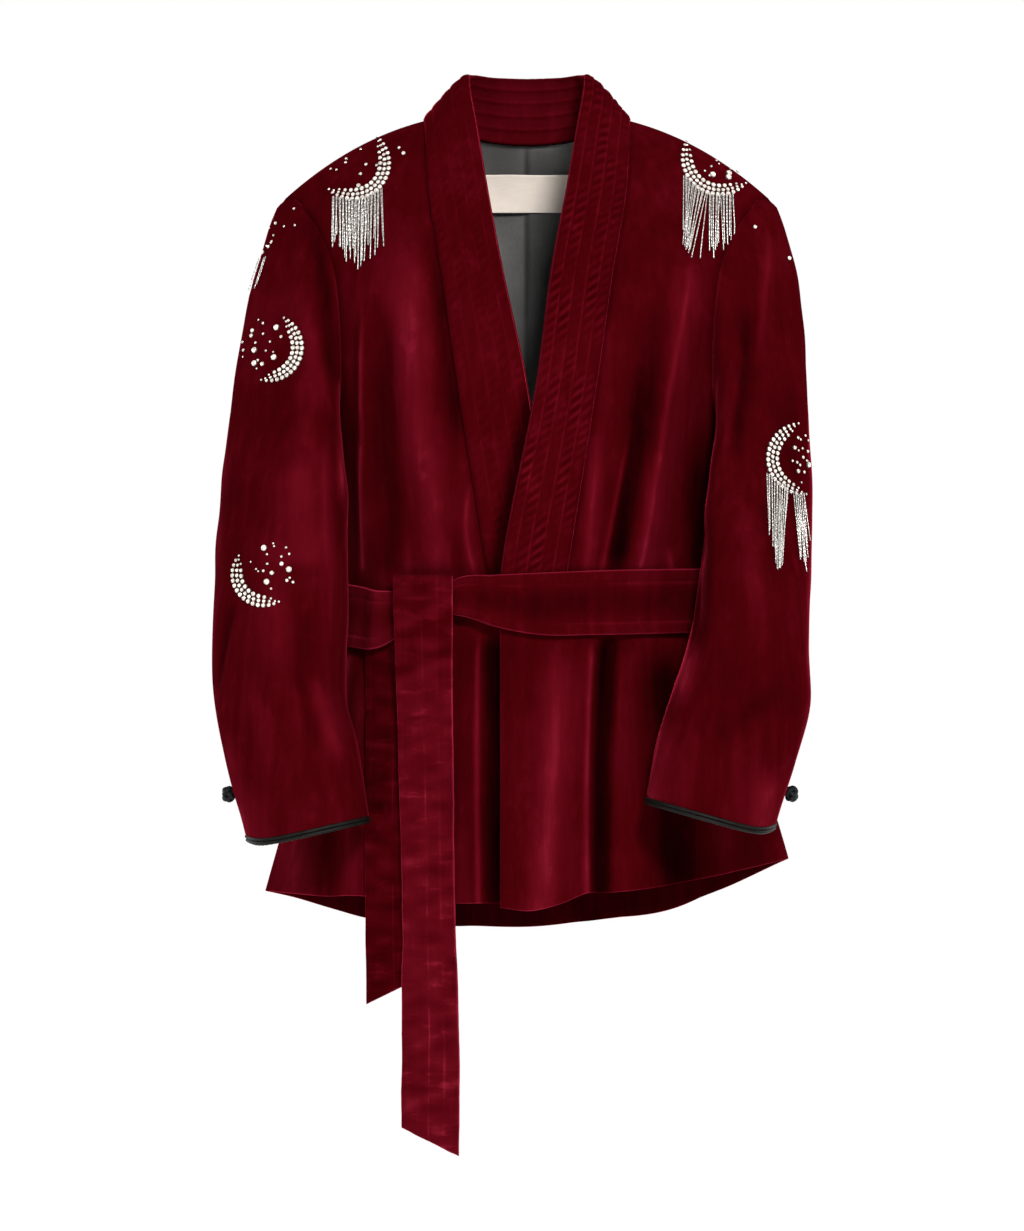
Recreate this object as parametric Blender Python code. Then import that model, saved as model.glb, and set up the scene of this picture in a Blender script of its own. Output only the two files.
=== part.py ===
# Velvet wrap jacket with its own tied belt, filled out as worn.
# Every cut piece is a thin closed wall. Tables are in millimetres, the finished meshes in metres.
# +X is the wearer's left, -Y the front and +Z up. The origin lies between the shoulders at the neck.
from collections import namedtuple

import bpy
import numpy as np

MM = 0.001
SEAM_GAP = 0.3           # clear space between neighbouring pieces
VELVET = 1.6             # wall of the velvet panels and sleeves
BAND_PROUD = 1.2         # the quilted band stands this far out of the panels
BAND_SUNK = 1.8          # and reaches this far in
BAND_BULGE = 1.6         # roundness of the band across its width
LINING_WALL = 1.0
LINING_INSET = 3.0       # from the back's outer face to the lining's outer face
LABEL_WALL = 0.6
LABEL_INSET = 6.5
BELT_WALL = 3.0          # two layers of velvet
BELT_EASE = 2.4          # from the panels to the belt at the sides and the back
BAND_EASE = 2.6          # extra room over the band at the front
KNOT_EASE = 5.0          # extra room where the tied end passes behind the belt
TAIL_BACK_WALL = 2.4
CORD_HEIGHT = 7.6        # double cord on the cuff edge
CORD_WALL = 3.8
KNOT_RADIUS = 7.0
FRINGE_WALL = 3.0
FRINGE_EASE = 1.2        # from the fronts to their fringes
ARM_EASE = 2.6           # from the sleeves to their fringes
WRAP_INSET = 7.0         # the right front lies this far inside the left one where they cross
WRAP_START = 50.0        # and starts to dip this far before the left front's edge
WRAP_RUN = 45.0
SHOULDER_POWER = 2.45    # shape of the shoulder line from neck to tip
LINING_TOP = 0.6         # the lining's upper edge lies this far below the neck seam
LINING_MARGIN = 3        # columns of the back left unlined at each side
KNOT_HEIGHT = 38.0       # knot buttons above the cuff edge
KNOT_CLEAR = 1.0         # and beside the sleeve
KNOT_FADE = 14.0         # run of the belt's rise over the tied end
NECK_FADE = 1.5          # how fast the rows of the back even out below the neck seam

# How finely the pieces are divided.
UPPER_ROWS = 11          # shoulder to underarm
WAIST_ROWS = 4           # underarm to belt
SKIRT_ROWS = 6           # belt to hem
FRONT_COLUMNS = 9
NECK_COLUMNS = 9
NECK_SHARE = 0.3         # share of the back's columns that lies under the neck
CAP_ROWS = 6
ARM_ROWS = 9
BAND_COLUMNS = 5
BELT_COLUMNS = 44
BELT_ROWS = 3
TAIL_COLUMNS = 3
TAIL_FRONT_ROWS = 30
TAIL_BACK_ROWS = 14
FRINGE_COLUMNS = 4
FRINGE_ROWS = 5
LABEL_COLUMNS = 7
LABEL_ROWS = 4
CORD_SIDES = 6
KNOT_SIDES = 12
KNOT_RINGS = 8
SAMPLES = 600            # steps along a line that is searched for a height
SETTLE_STEPS = 12        # rounds that find the body row below a sloping shoulder
SHARP_ANGLE = 50         # degrees past which an edge is drawn sharp

Section = namedtuple("Section", "level half_width front_depth back_depth corner drop armhole_x")
TORSO = (
    Section(28, 218, 0, 0, 0.42, 83, 218),        # shoulder line
    Section(17, 217, 20, 33, 0.42, 80, 209),
    Section(-6, 214, 44, 66, 0.43, 70, 200),
    Section(-46, 209, 72, 90, 0.46, 52, 186),
    Section(-105, 202, 98, 105, 0.49, 28, 172),
    Section(-185, 191, 115, 112, 0.50, 9, 167),
    Section(-243, 181, 117, 110, 0.50, 1, 169),
    Section(-275, 178, 115, 107, 0.50, 0, 178),   # underarm
    Section(-345, 172, 108, 97, 0.50, 0, 172),
    Section(-418, 170, 101, 90, 0.52, 0, 170),    # waist
    Section(-500, 181, 106, 97, 0.58, 0, 181),
    Section(-600, 211, 113, 107, 0.68, 0, 211),
    Section(-690, 236, 118, 112, 0.75, 0, 236),   # hem
)
ROW_UNDERARM = 7
ROW_WAIST = 9
ROW_HEM = len(TORSO) - 1

Hem = namedtuple("Hem", "x z")
HEM_FRONT_RIGHT = (Hem(-236, -676), Hem(-202, -679), Hem(-147, -680), Hem(-66, -686),
                   Hem(-35, -687), Hem(60, -690))
HEM_FRONT_LEFT = (Hem(-24, -690), Hem(4, -693), Hem(29, -687), Hem(54, -677), Hem(81, -676),
                  Hem(163, -663), Hem(236, -647))
HEM_BACK = (Hem(-236, -676), Hem(-215, -681), Hem(-147, -701), Hem(-42, -709), Hem(3, -710),
            Hem(49, -704), Hem(129, -694), Hem(163, -681), Hem(236, -647))

# Band stations from the shoulder to the belt: where the seam runs, and the free edge beside it.
Station = namedtuple("Station", "level seam_x edge_x edge_y edge_z")
BAND_LEFT = (
    Station(28, 98, 51, 16, 58),
    Station(12, 96.5, 48.5, -8, 38),
    Station(-5, 95, 44.5, -28, 12),
    Station(-35, 92, 38, -54, -27),
    Station(-114, 78, 22, -99, -114),
    Station(-207, 65, 10, -117, -207),
    Station(-391, 36, -24, -103, -391),
    Station(-428, 30, -28, -101, -428),
)
BAND_RIGHT = (
    Station(28, 98, 51, 16, 58),
    Station(12, 96.5, 48.5, -8, 38),
    Station(-5, 95, 44.5, -28, 12),
    Station(-35, 92, 38, -54, -27),
    Station(-114, 78, 22, -99, -114),
    Station(-207, 65, 2, -117, -207),
    Station(-391, 36, -22, -103, -391),
    Station(-428, 30, -26, -101, -428),
)
NECK_X = BAND_LEFT[0].seam_x
NECK_Z = -4              # back neck seam at the centre
NECK_RISE = 22           # and its rise to the shoulder
BAND_AXIS_Y = 20         # the band faces out from a line this far behind the middle
BODY_MIDDLE = (0, 10, -150)
BAND_END = BAND_LEFT[-1].level
EDGE_START = -437        # below the band the fronts have a plain edge
EDGE_LEFT = -24          # of the left front, past the centre
EDGE_RIGHT = -45         # of the right front, hidden under the left

# Free edge of the band round the back neck, by share of the way from the centre to the shoulder.
Stand = namedtuple("Stand", "share x y z")
BAND_STAND = (
    Stand(0.0, 0, 60, 51),
    Stand(0.3, 18, 58, 52),
    Stand(0.6, 34, 51, 54),
    Stand(0.85, 46, 37, 56),
    Stand(1.0, 51, 16, 58),
)

# Largest folds: a ridge (positive) or trough (negative) along a line, with its half width and depth.
Fold = namedtuple("Fold", "x_top z_top x_bottom z_bottom width depth")
FOLDS_LEFT = (
    Fold(150, -190, 112, -385, 17, 4),
    Fold(128, -230, 100, -385, 13, -5),
    Fold(12, -450, 14, -745, 26, 5),
    Fold(56, -450, 52, -745, 10, 6),
    Fold(72, -450, 71, -745, 11, -12),
    Fold(92, -450, 86, -745, 14, 7),
    Fold(135, -470, 140, -745, 22, -6),
)
FOLDS_RIGHT = (
    Fold(-148, -150, -148, -385, 8, 3),
    Fold(-100, -60, -90, -385, 26, 4),
    Fold(-128, -150, -122, -385, 14, -4),
    Fold(-46, -450, -40, -745, 9, 4),
    Fold(-165, -470, -175, -745, 18, -5),
)
FOLDS_BACK = (
    Fold(70, -120, 40, -385, 24, -5),
    Fold(-80, -120, -44, -385, 22, -5),
    Fold(0, -450, 0, -760, 24, 6),
    Fold(48, -450, 62, -760, 17, -8),
    Fold(-50, -450, -70, -760, 18, -8),
    Fold(95, -450, 122, -760, 22, 6),
    Fold(-98, -450, -128, -760, 22, 6),
    Fold(132, -460, 176, -760, 18, -6),
    Fold(-134, -460, -180, -760, 18, -6),
)
FOLD_FADE = 45           # length over which a fold runs out at its ends

# Sleeve rings from the upper arm to the cuff, outer and inner edge as seen from the front.
# Turn twists the inner side by some degrees, and shear brings the front closer to the body than the back.
Ring = namedtuple("Ring", "z outer inner y depth tilt turn shear")
SLEEVE_RIGHT = (
    Ring(-330, 276, 161, -50, 62, 0, 28, 20),
    Ring(-400, 280, 161, -60, 60, 0, 29, 18),
    Ring(-468, 282, 162, -69, 57, 4, 30, 8),
    Ring(-510, 279, 162, -77, 53, 9, 32, 0),
    Ring(-552, 270, 152, -90, 48, 16, 32, 0),
    Ring(-620, 253, 142, -106, 43, 25, 32, 0),
)
SLEEVE_LEFT = (
    Ring(-330, 256, 160, -54, 60, 0, 28, 20),
    Ring(-385, 254, 155, -77, 59, 0, 26, 12),
    Ring(-448, 252, 147, -91, 57, 6, 23, 0),
    Ring(-504, 253, 130, -104, 53, 14, 20, 0),
    Ring(-550, 240, 117, -117, 48, 24, 20, 0),
    Ring(-607, 224, 107, -127, 43, 33, 20, 0),
)
CAP_OUT = 0.5            # how far the sleeve head leans out where it leaves the shoulder
CAP_UNDER = 1.1          # and where it leaves the underarm
CAP_UNDER_POWER = 8      # how close to the underarm that is
CAP_SIDE = 0.22          # and how far its front and back lean to the front and the back
SEAM_FRONT = 153         # degrees from the outer line round the front to the front sleeve seam
SEAM_BACK = 354          # and to the elbow seam

Girth = namedtuple("Girth", "x top bottom")
BELT_FRONT = (
    Girth(-169, -398, -452), Girth(-150, -401, -456), Girth(-124, -406, -457), Girth(-98, -405, -441),
    Girth(-70, -401, -427), Girth(-56, -394, -428), Girth(-30, -392, -437), Girth(12, -390, -445),
    Girth(60, -388, -445),
    Girth(169, -386, -442),
)
KNOT_X = (-128, -58)

# Belt ends: distance in front of the panels, height, side edges, and how the end slants.
Tail = namedtuple("Tail", "ease z left right slant")
TAIL_FRONT = (
    Tail(4.2, -421, -116, -70, 0), Tail(4.2, -404, -117, -69, 0), Tail(10.0, -393, -119, -67, 0),
    Tail(16.2, -404, -120, -67, 0), Tail(16.0, -440, -119, -67, 0), Tail(11.0, -500, -117, -67, 0),
    Tail(8.5, -570, -115, -66, 0), Tail(8.5, -684, -112, -65, 0), Tail(8.5, -800, -112, -61, -12),
    Tail(8.5, -898, -113, -61, -25),
)
TAIL_BACK = (
    Tail(2.5, -424, -143, -95, 0), Tail(2.5, -462, -145, -95, 0), Tail(3.2, -560, -145, -94, 0),
    Tail(3.4, -684, -145, -93, 2), Tail(3.4, -764, -144, -92, 26),
)

# Reach of the bead fringes on the fronts.
Reach = namedtuple("Reach", "left right top_left top_right bottom_left bottom_right")
FRINGE_FRONT_RIGHT = Reach(-175, -129, -47, -42, -100, -116)
FRINGE_FRONT_LEFT = Reach(140, 184, -38, -48, -112, -90)
# Reach of the fringes on the sleeves, in degrees round the arm and heights.
Wrap = namedtuple("Wrap", "start end top bottom")
FRINGE_SLEEVE_LEFT = (Wrap(52, 72, -305, -388), Wrap(20, 42, -322, -390))
FRINGE_SLEEVE_RIGHT = Wrap(-24, 0, -112, -143)

LABEL = Reach(-44, 44, -31, -31, -66, -66)


def column(table, name):
    return np.array([getattr(row, name) for row in table], dtype=float)


def curve(keys, values, at):
    """Smooth line through the values, read at any place along the keys."""
    slope = np.gradient(values, keys)
    at = np.clip(at, keys[0], keys[-1])
    i = np.clip(np.searchsorted(keys, at) - 1, 0, len(keys) - 2)
    step = keys[i + 1] - keys[i]
    u = (at - keys[i]) / step
    start = (1 + 2 * u) * (1 - u) ** 2 * values[i] + u * (1 - u) ** 2 * step * slope[i]
    return start + u * u * (3 - 2 * u) * values[i + 1] - u * u * (1 - u) * step * slope[i + 1]


def down_curve(table, key, name, at):
    """The same for a table whose key falls from row to row."""
    return curve(-column(table, key), column(table, name), -np.asarray(at, dtype=float))


def by_row(table, name, at):
    return curve(np.arange(len(table), dtype=float), column(table, name), at)


def smoothstep(u):
    u = np.clip(u, 0, 1)
    return u * u * (3 - 2 * u)


def unit(vectors):
    return vectors / np.maximum(np.linalg.norm(vectors, axis=-1, keepdims=True), 1e-9)


def row_of_level(level):
    rows = np.linspace(0, ROW_HEM, SAMPLES)
    return np.interp(-np.asarray(level, dtype=float), -by_row(TORSO, "level", rows), rows)


def torso_point(s, row, side, hem):
    """Point of the body line: s runs from -1 to 1 across, row from the shoulder to the hem."""
    width = by_row(TORSO, "half_width", row)
    bow = np.maximum(1 - s * s, 0) ** by_row(TORSO, "corner", row)
    depth = by_row(TORSO, side + "_depth", row)
    sign = -1 if side == "front" else 1
    sag = smoothstep((row - ROW_WAIST) / (ROW_HEM - ROW_WAIST))
    hem_z = curve(column(hem, "x"), column(hem, "z"), s * TORSO[-1].half_width)
    z = by_row(TORSO, "level", row) - by_row(TORSO, "drop", row) * np.abs(s) ** SHOULDER_POWER
    z = z + sag * (hem_z - TORSO[-1].level)
    return np.stack([width * s, sign * depth * bow, z], axis=-1)


def torso_at(x, z, side):
    """Point of the plain body line at a given width and height, held at the hem below it."""
    x, z = np.broadcast_arrays(np.asarray(x, dtype=float), np.asarray(z, dtype=float))
    row = row_of_level(z)
    for _ in range(SETTLE_STEPS):
        s = np.clip(x / by_row(TORSO, "half_width", row), -1, 1)
        row = row_of_level(z + by_row(TORSO, "drop", row) * np.abs(s) ** SHOULDER_POWER)
    s = np.clip(x / by_row(TORSO, "half_width", row), -1, 1)
    bow = (1 - s * s) ** by_row(TORSO, "corner", row)
    sign = -1 if side == "front" else 1
    return np.stack([x, sign * by_row(TORSO, side + "_depth", row) * bow, z], axis=-1)


def grid_normals(points, middle):
    normal = unit(np.cross(np.gradient(points, axis=0), np.gradient(points, axis=1)))
    if np.sum(normal * (points - middle)) < 0:
        normal = -normal
    return normal


def fold_height(points, folds):
    total = np.zeros(points.shape[:-1])
    for fold in folds:
        x, z = points[..., 0], points[..., 2]
        along = np.clip((z - fold.z_top) / (fold.z_bottom - fold.z_top), 0, 1)
        middle = fold.x_top + (fold.x_bottom - fold.x_top) * along
        ends = smoothstep((fold.z_top - z) / FOLD_FADE) * smoothstep((z - fold.z_bottom) / FOLD_FADE)
        total += fold.depth * ends * np.exp(-((x - middle) / fold.width) ** 2)
    return total


def wrap_dip(x, z):
    """How far the right front lies inside where the left one crosses it."""
    edge = np.where(z > BAND_END, down_curve(BAND_LEFT, "edge_z", "edge_x", z), EDGE_LEFT)
    return WRAP_INSET * smoothstep((x - edge + WRAP_START) / WRAP_RUN)


def outer_angle(row):
    """Ring angle of the armhole, or of the side seam below the underarm."""
    reach = by_row(TORSO, "armhole_x", row) / by_row(TORSO, "half_width", row)
    return np.where(row >= ROW_UNDERARM, np.pi / 2, np.arcsin(np.clip(reach, 0, 1)))


def front_grid(is_left, rows, shares):
    """Front panel from its front edge (share 0) to armhole and side seam (share 1)."""
    level = by_row(TORSO, "level", rows)
    band = down_curve(BAND_LEFT, "level", "seam_x", level)
    edge_x = np.where(level > (BAND_END + EDGE_START) / 2, band, EDGE_LEFT if is_left else EDGE_RIGHT)
    start = np.arcsin(edge_x / by_row(TORSO, "half_width", rows))
    angle = start[:, None] + (outer_angle(rows) - start)[:, None] * shares[None, :]
    s = np.sin(angle) * (1 if is_left else -1)
    row = np.repeat(rows[:, None], len(shares), axis=1)
    points = torso_point(s, row, "front", HEM_FRONT_LEFT if is_left else HEM_FRONT_RIGHT)
    rise = fold_height(points, FOLDS_LEFT if is_left else FOLDS_RIGHT)
    rise[0, :] = 0
    rise[:, -1] = 0
    rise[level > EDGE_START, 0] = 0
    points = points + rise[..., None] * grid_normals(points, np.zeros(3))
    if not is_left:
        points[..., 1] += wrap_dip(points[..., 0], points[..., 2])
    return points


def neck_row(angle):
    """Body row on which the back neck seam runs, for each ring angle inside the neck."""
    rows = np.linspace(0, ROW_UNDERARM, SAMPLES)
    s = np.sin(angle)
    x = by_row(TORSO, "half_width", rows) * s
    z = by_row(TORSO, "level", rows) - by_row(TORSO, "drop", rows) * np.abs(s) ** SHOULDER_POWER
    above = z - (NECK_Z + NECK_RISE * (x / NECK_X) ** 2)
    return np.interp(0, -above, rows)


def back_grid(rows, shares, neck_share):
    """Back panel from side seam to side seam; shares within neck_share lie under the neck."""
    neck_angle = np.arcsin(NECK_X / TORSO[0].half_width)
    inside = np.abs(shares) < neck_share - 1e-9
    beyond = np.clip((np.abs(shares) - neck_share) / (1 - neck_share), 0, 1)
    angle = neck_angle + (outer_angle(rows)[:, None] - neck_angle) * beyond[None, :]
    angle = np.where(inside[None, :], neck_angle * np.abs(shares)[None, :] / neck_share, angle)
    top = np.array([neck_row(neck_angle * abs(f) / neck_share) if hit else 0.0
                    for f, hit in zip(shares, inside)])
    fade = np.clip(1 - rows / ROW_UNDERARM, 0, 1) ** NECK_FADE
    row = rows[:, None] + top[None, :] * fade[:, None]
    return torso_point(np.sin(angle) * np.sign(shares)[None, :], row, "back", HEM_BACK)


def armhole_loop(front_edge, back_edge):
    """Closed armhole line: down the front from the shoulder, then up the back, with its angles."""
    loop = np.concatenate([front_edge, back_edge[-2:0:-1]])
    length = np.linalg.norm(np.diff(np.concatenate([loop, loop[:1]]), axis=0), axis=1)
    start = np.concatenate([[0], np.cumsum(length)[:-1]])
    return loop, 2 * np.pi * start / length.sum()


def sleeve_ring(table, sign, angle, row):
    """Tilted and sheared oval of the arm: angle 0 is the outer line, a quarter turn the front."""
    turned = angle + np.radians(by_row(table, "turn", row)) * (1 - np.cos(angle)) / 2
    outer, inner = by_row(table, "outer", row), by_row(table, "inner", row)
    shear = by_row(table, "shear", row)
    half = np.sqrt(((outer - inner) / 2) ** 2 - shear ** 2)
    x = (outer + inner) / 2 + half * np.cos(turned) - shear * np.sin(turned)
    y = by_row(table, "y", row) - by_row(table, "depth", row) * np.sin(turned)
    z = by_row(table, "z", row) - by_row(table, "tilt", row) / 2 * np.cos(turned)
    return np.stack([sign * x, y, z], axis=-1)


def sleeve_point(table, sign, loop, loop_angle, angle, row):
    """Row 0 to 1 runs from the armhole to the upper arm, then on ring by ring to the cuff."""
    angle, row = np.broadcast_arrays(angle, row)
    closed = np.concatenate([loop_angle, [2 * np.pi]])
    wrapped = np.mod(angle, 2 * np.pi)
    around = np.concatenate([loop, loop[:1]])
    start = np.stack([np.interp(wrapped, closed, around[:, k]) for k in range(3)], axis=-1)
    end = sleeve_ring(table, sign, angle, np.zeros_like(row))
    below = (1 - np.cos(angle)) / 2
    out = CAP_OUT * (1 - below) + CAP_UNDER * below ** CAP_UNDER_POWER
    lean = np.stack([sign * out, -CAP_SIDE * np.sin(angle), -np.ones_like(row)], axis=-1)
    fall = unit(sleeve_ring(table, sign, angle, np.full_like(row, 0.1)) - end)
    reach = np.linalg.norm(end - start, axis=-1, keepdims=True)
    u = np.clip(row, 0, 1)[..., None]
    cap = (1 + 2 * u) * (1 - u) ** 2 * start + u * (1 - u) ** 2 * reach * unit(lean)
    cap = cap + u * u * (3 - 2 * u) * end - u * u * (1 - u) * reach * fall
    lower = sleeve_ring(table, sign, angle, np.maximum(row - 1, 0))
    return np.where(row[..., None] <= 1, cap, lower)


def sleeve_row_at(table, sign, loop, loop_angle, angle, z):
    rows = np.linspace(0, len(table), SAMPLES)
    heights = sleeve_point(table, sign, loop, loop_angle, np.full_like(rows, angle), rows)[:, 2]
    return np.interp(-z, -heights, rows)


def sleeve_halves(points, loop_angle):
    """Upper and under sleeve, cut at the front seam and the elbow seam."""
    count = len(loop_angle)
    first = int(np.argmin(np.abs(loop_angle - np.radians(SEAM_FRONT))))
    second = int(np.argmin(np.abs(loop_angle - np.radians(SEAM_BACK))))
    upper = np.arange(second, first + count + 1) % count
    return points[:, upper], points[:, first:second + 1]


def around_arm(table, sign, points):
    """Middle line of the arm beside each point, from which the cloth faces out."""
    middle = points.mean(axis=1, keepdims=True) * np.ones_like(points)
    middle[..., 0] = sign * (table[0].outer + table[0].inner) / 2
    return middle


def sew(*groups):
    """Panels that meet share one wall direction along the seam: first body and sleeves, then both."""
    shared = {}
    for panels in groups:
        total = {}
        for points, normals in panels:
            for p, n in zip(np.round(points, 2).reshape(-1, 3), normals.reshape(-1, 3)):
                total[tuple(p)] = total.get(tuple(p), 0) + n
        for key, direction in total.items():
            shared[key] = shared.get(key, 0) + unit(direction)
    for points, normals in (panel for panels in groups for panel in panels):
        flat = normals.reshape(-1, 3)
        for i, p in enumerate(np.round(points, 2).reshape(-1, 3)):
            flat[i] = unit(shared[tuple(p)])


def trim(points, edges):
    """Pulls the sewn edges of a grid back by half the seam gap, square to the seam."""
    points = points.copy()
    for edge in edges:
        first, second = {"top": (0, 1), "start": (np.s_[:, 0], np.s_[:, 1]),
                         "end": (np.s_[:, -1], np.s_[:, -2])}[edge]
        along = unit(np.gradient(points[first], axis=0))
        back = points[second] - points[first]
        back = back - along * np.sum(back * along, axis=-1, keepdims=True)
        points[first] += SEAM_GAP / 2 * unit(back)
    return points


def material(name, colour, roughness, metallic=0.0):
    mat = bpy.data.materials.new(name)
    mat.use_nodes = True
    shader = mat.node_tree.nodes["Principled BSDF"]
    shader.inputs["Base Color"].default_value = (*colour, 1)
    shader.inputs["Roughness"].default_value = roughness
    shader.inputs["Metallic"].default_value = metallic
    return mat


def add_object(name, vertices, faces, mat):
    mesh = bpy.data.meshes.new(name)
    mesh.from_pydata((vertices * MM).tolist(), [], faces)
    mesh.update()
    mesh.materials.append(mat)
    mesh.shade_smooth()
    mesh.set_sharp_from_angle(angle=np.radians(SHARP_ANGLE))
    thing = bpy.data.objects.new(name, mesh)
    bpy.context.collection.objects.link(thing)
    return thing


def wall(name, outer, inner, mat, looped=False):
    """Closed wall between an outer and an inner grid; looped joins the last column to the first."""
    rows, cols = outer.shape[:2]
    count = rows * cols
    index = np.arange(count).reshape(rows, cols)
    if looped:
        index = np.concatenate([index, index[:, :1]], axis=1)
    a, b, c, d = index[:-1, :-1], index[:-1, 1:], index[1:, 1:], index[1:, :-1]
    faces = [np.stack(corners, axis=-1).reshape(-1, 3) for corners in ((a, b, c), (a, c, d))]
    faces += [face[:, ::-1] + count for face in faces]
    rims = [index[0, ::-1], index[-1, :]]
    if not looped:
        rims += [index[:, 0], index[::-1, -1]]
    for rim in rims:
        near, far = rim[:-1], rim[1:]
        faces.append(np.stack([far, far + count, near + count], axis=-1))
        faces.append(np.stack([far, near + count, near], axis=-1))
    faces = np.concatenate(faces)
    across = np.cross(outer[0, 1] - outer[0, 0], outer[1, 0] - outer[0, 0])
    if np.dot(across, outer[0, 0] - inner[0, 0]) < 0:
        faces = faces[:, ::-1]
    vertices = np.concatenate([outer.reshape(-1, 3), inner.reshape(-1, 3)])
    return add_object(name, vertices, faces.tolist(), mat)


def sewn_wall(name, panel, out, inward, edges, mat):
    points, normals = panel
    return wall(name, trim(points + out * normals, edges), trim(points - inward * normals, edges), mat)


def band_grid(left_edge, back_edge, right_edge, levels):
    """Band surface: along the left front, round the neck and down the right front."""
    seam = np.concatenate([left_edge[::-1], back_edge[1:-1][::-1], right_edge])
    sides = []
    for table, sign in ((BAND_LEFT, 1), (BAND_RIGHT, -1)):
        free = np.stack([sign * down_curve(table, "level", "edge_x", levels),
                         down_curve(table, "level", "edge_y", levels),
                         down_curve(table, "level", "edge_z", levels)], axis=-1)
        sides.append(free)
    sides[1][:, 1] += wrap_dip(sides[1][:, 0], sides[1][:, 2])
    share = back_edge[1:-1, 0] / NECK_X
    stand = [curve(column(BAND_STAND, "share"), column(BAND_STAND, name), np.abs(share)) for name in "xyz"]
    stand[0] = stand[0] * np.sign(share)
    free = np.concatenate([sides[0][::-1], np.stack(stand, axis=-1)[::-1], sides[1]])
    across = np.linspace(0, 1, BAND_COLUMNS)[None, :, None]
    points = seam[:, None] * (1 - across) + free[:, None] * across
    axis = np.stack([np.zeros(len(seam)), np.full(len(seam), float(BAND_AXIS_Y)), seam[:, 2]], axis=-1)
    normal = grid_normals(points, axis[:, None])
    return points + BAND_BULGE * 4 * across * (1 - across) * normal


def build_belt(mat):
    angle = np.linspace(0, 2 * np.pi, BELT_COLUMNS, endpoint=False)
    s = np.sin(angle)
    front = np.cos(angle) > 0
    x = TORSO[ROW_WAIST].half_width * s
    top_front = curve(column(BELT_FRONT, "x"), column(BELT_FRONT, "top"), x)
    low_front = curve(column(BELT_FRONT, "x"), column(BELT_FRONT, "bottom"), x)
    first, last = BELT_FRONT[0], BELT_FRONT[-1]
    side = (s + 1) / 2
    top = np.where(front, top_front, first.top + (last.top - first.top) * side)
    low = np.where(front, low_front, first.bottom + (last.bottom - first.bottom) * side)
    z = top[None, :] + (low - top)[None, :] * np.linspace(0, 1, BELT_ROWS)[:, None]
    row = row_of_level(z)
    s_grid = np.repeat(s[None, :], BELT_ROWS, axis=0)
    ahead = torso_point(s_grid, row, "front", HEM_FRONT_LEFT)
    behind = torso_point(s_grid, row, "back", HEM_BACK)
    points = np.where(front[None, :, None], ahead, behind)
    points[..., 2] = z
    normal = unit(np.stack([s_grid, -np.cos(angle)[None, :] + 0 * z, 0 * z], axis=-1))
    knot = smoothstep((x - KNOT_X[0]) / KNOT_FADE + 1) * smoothstep((KNOT_X[1] - x) / KNOT_FADE + 1)
    over_band = BAND_EASE * smoothstep(2 * np.cos(angle))
    ease = (BELT_EASE + over_band + KNOT_EASE * knot * front)[None, :, None]
    inner = points + ease * normal
    wall("belt_waist", inner + BELT_WALL * normal, inner, mat, looped=True)


def build_tail(name, table, rows, thickness, mat):
    """Belt end hanging in front of the panels along a line of distances and heights."""
    at = np.linspace(0, len(table) - 1, rows)
    across = np.linspace(0, 1, TAIL_COLUMNS)[None, :]
    left = by_row(table, "left", at)[:, None]
    right = by_row(table, "right", at)[:, None]
    x = left + (right - left) * across
    z = by_row(table, "z", at)[:, None] + by_row(table, "slant", at)[:, None] * (across - 0.5)
    points = torso_at(x, z, "front")
    facing = np.sqrt(1 - (x / TORSO[ROW_WAIST].half_width) ** 2)
    points[..., 1] -= by_row(table, "ease", at)[:, None] / facing
    normal = unit(np.cross(np.gradient(points, axis=0), np.gradient(points, axis=1)))
    wall(name, points + thickness / 2 * normal, points - thickness / 2 * normal, mat)


def build_front_fringe(name, reach, mat):
    across = np.linspace(0, 1, FRINGE_COLUMNS)[None, :]
    down = np.linspace(0, 1, FRINGE_ROWS)[:, None]
    top = reach.top_left + (reach.top_right - reach.top_left) * across
    bottom = reach.bottom_left + (reach.bottom_right - reach.bottom_left) * across
    z = top + (bottom - top) * down
    points = torso_at(reach.left + (reach.right - reach.left) * across + 0 * z, z, "front")
    normal = grid_normals(points, np.zeros(3))
    inner = points + FRINGE_EASE * normal
    wall(name, inner + FRINGE_WALL * normal, inner, mat)


def build_sleeve_fringe(name, reach, table, sign, loop, loop_angle, mat):
    angle = np.radians(np.linspace(reach.start, reach.end, FRINGE_COLUMNS))
    ends = np.array([[sleeve_row_at(table, sign, loop, loop_angle, a, z) for a in angle]
                     for z in (reach.top, reach.bottom)])
    row = ends[:1] + (ends[1:] - ends[:1]) * np.linspace(0, 1, FRINGE_ROWS)[:, None]
    points = sleeve_point(table, sign, loop, loop_angle, np.repeat(angle[None, :], FRINGE_ROWS, axis=0), row)
    middle = np.where([True, True, False], np.array([sign * table[-1].inner, table[0].y, 0]), points)
    normal = grid_normals(points, middle)
    inner = points + ARM_EASE * normal
    wall(name, inner + FRINGE_WALL * normal, inner, mat)


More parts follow.
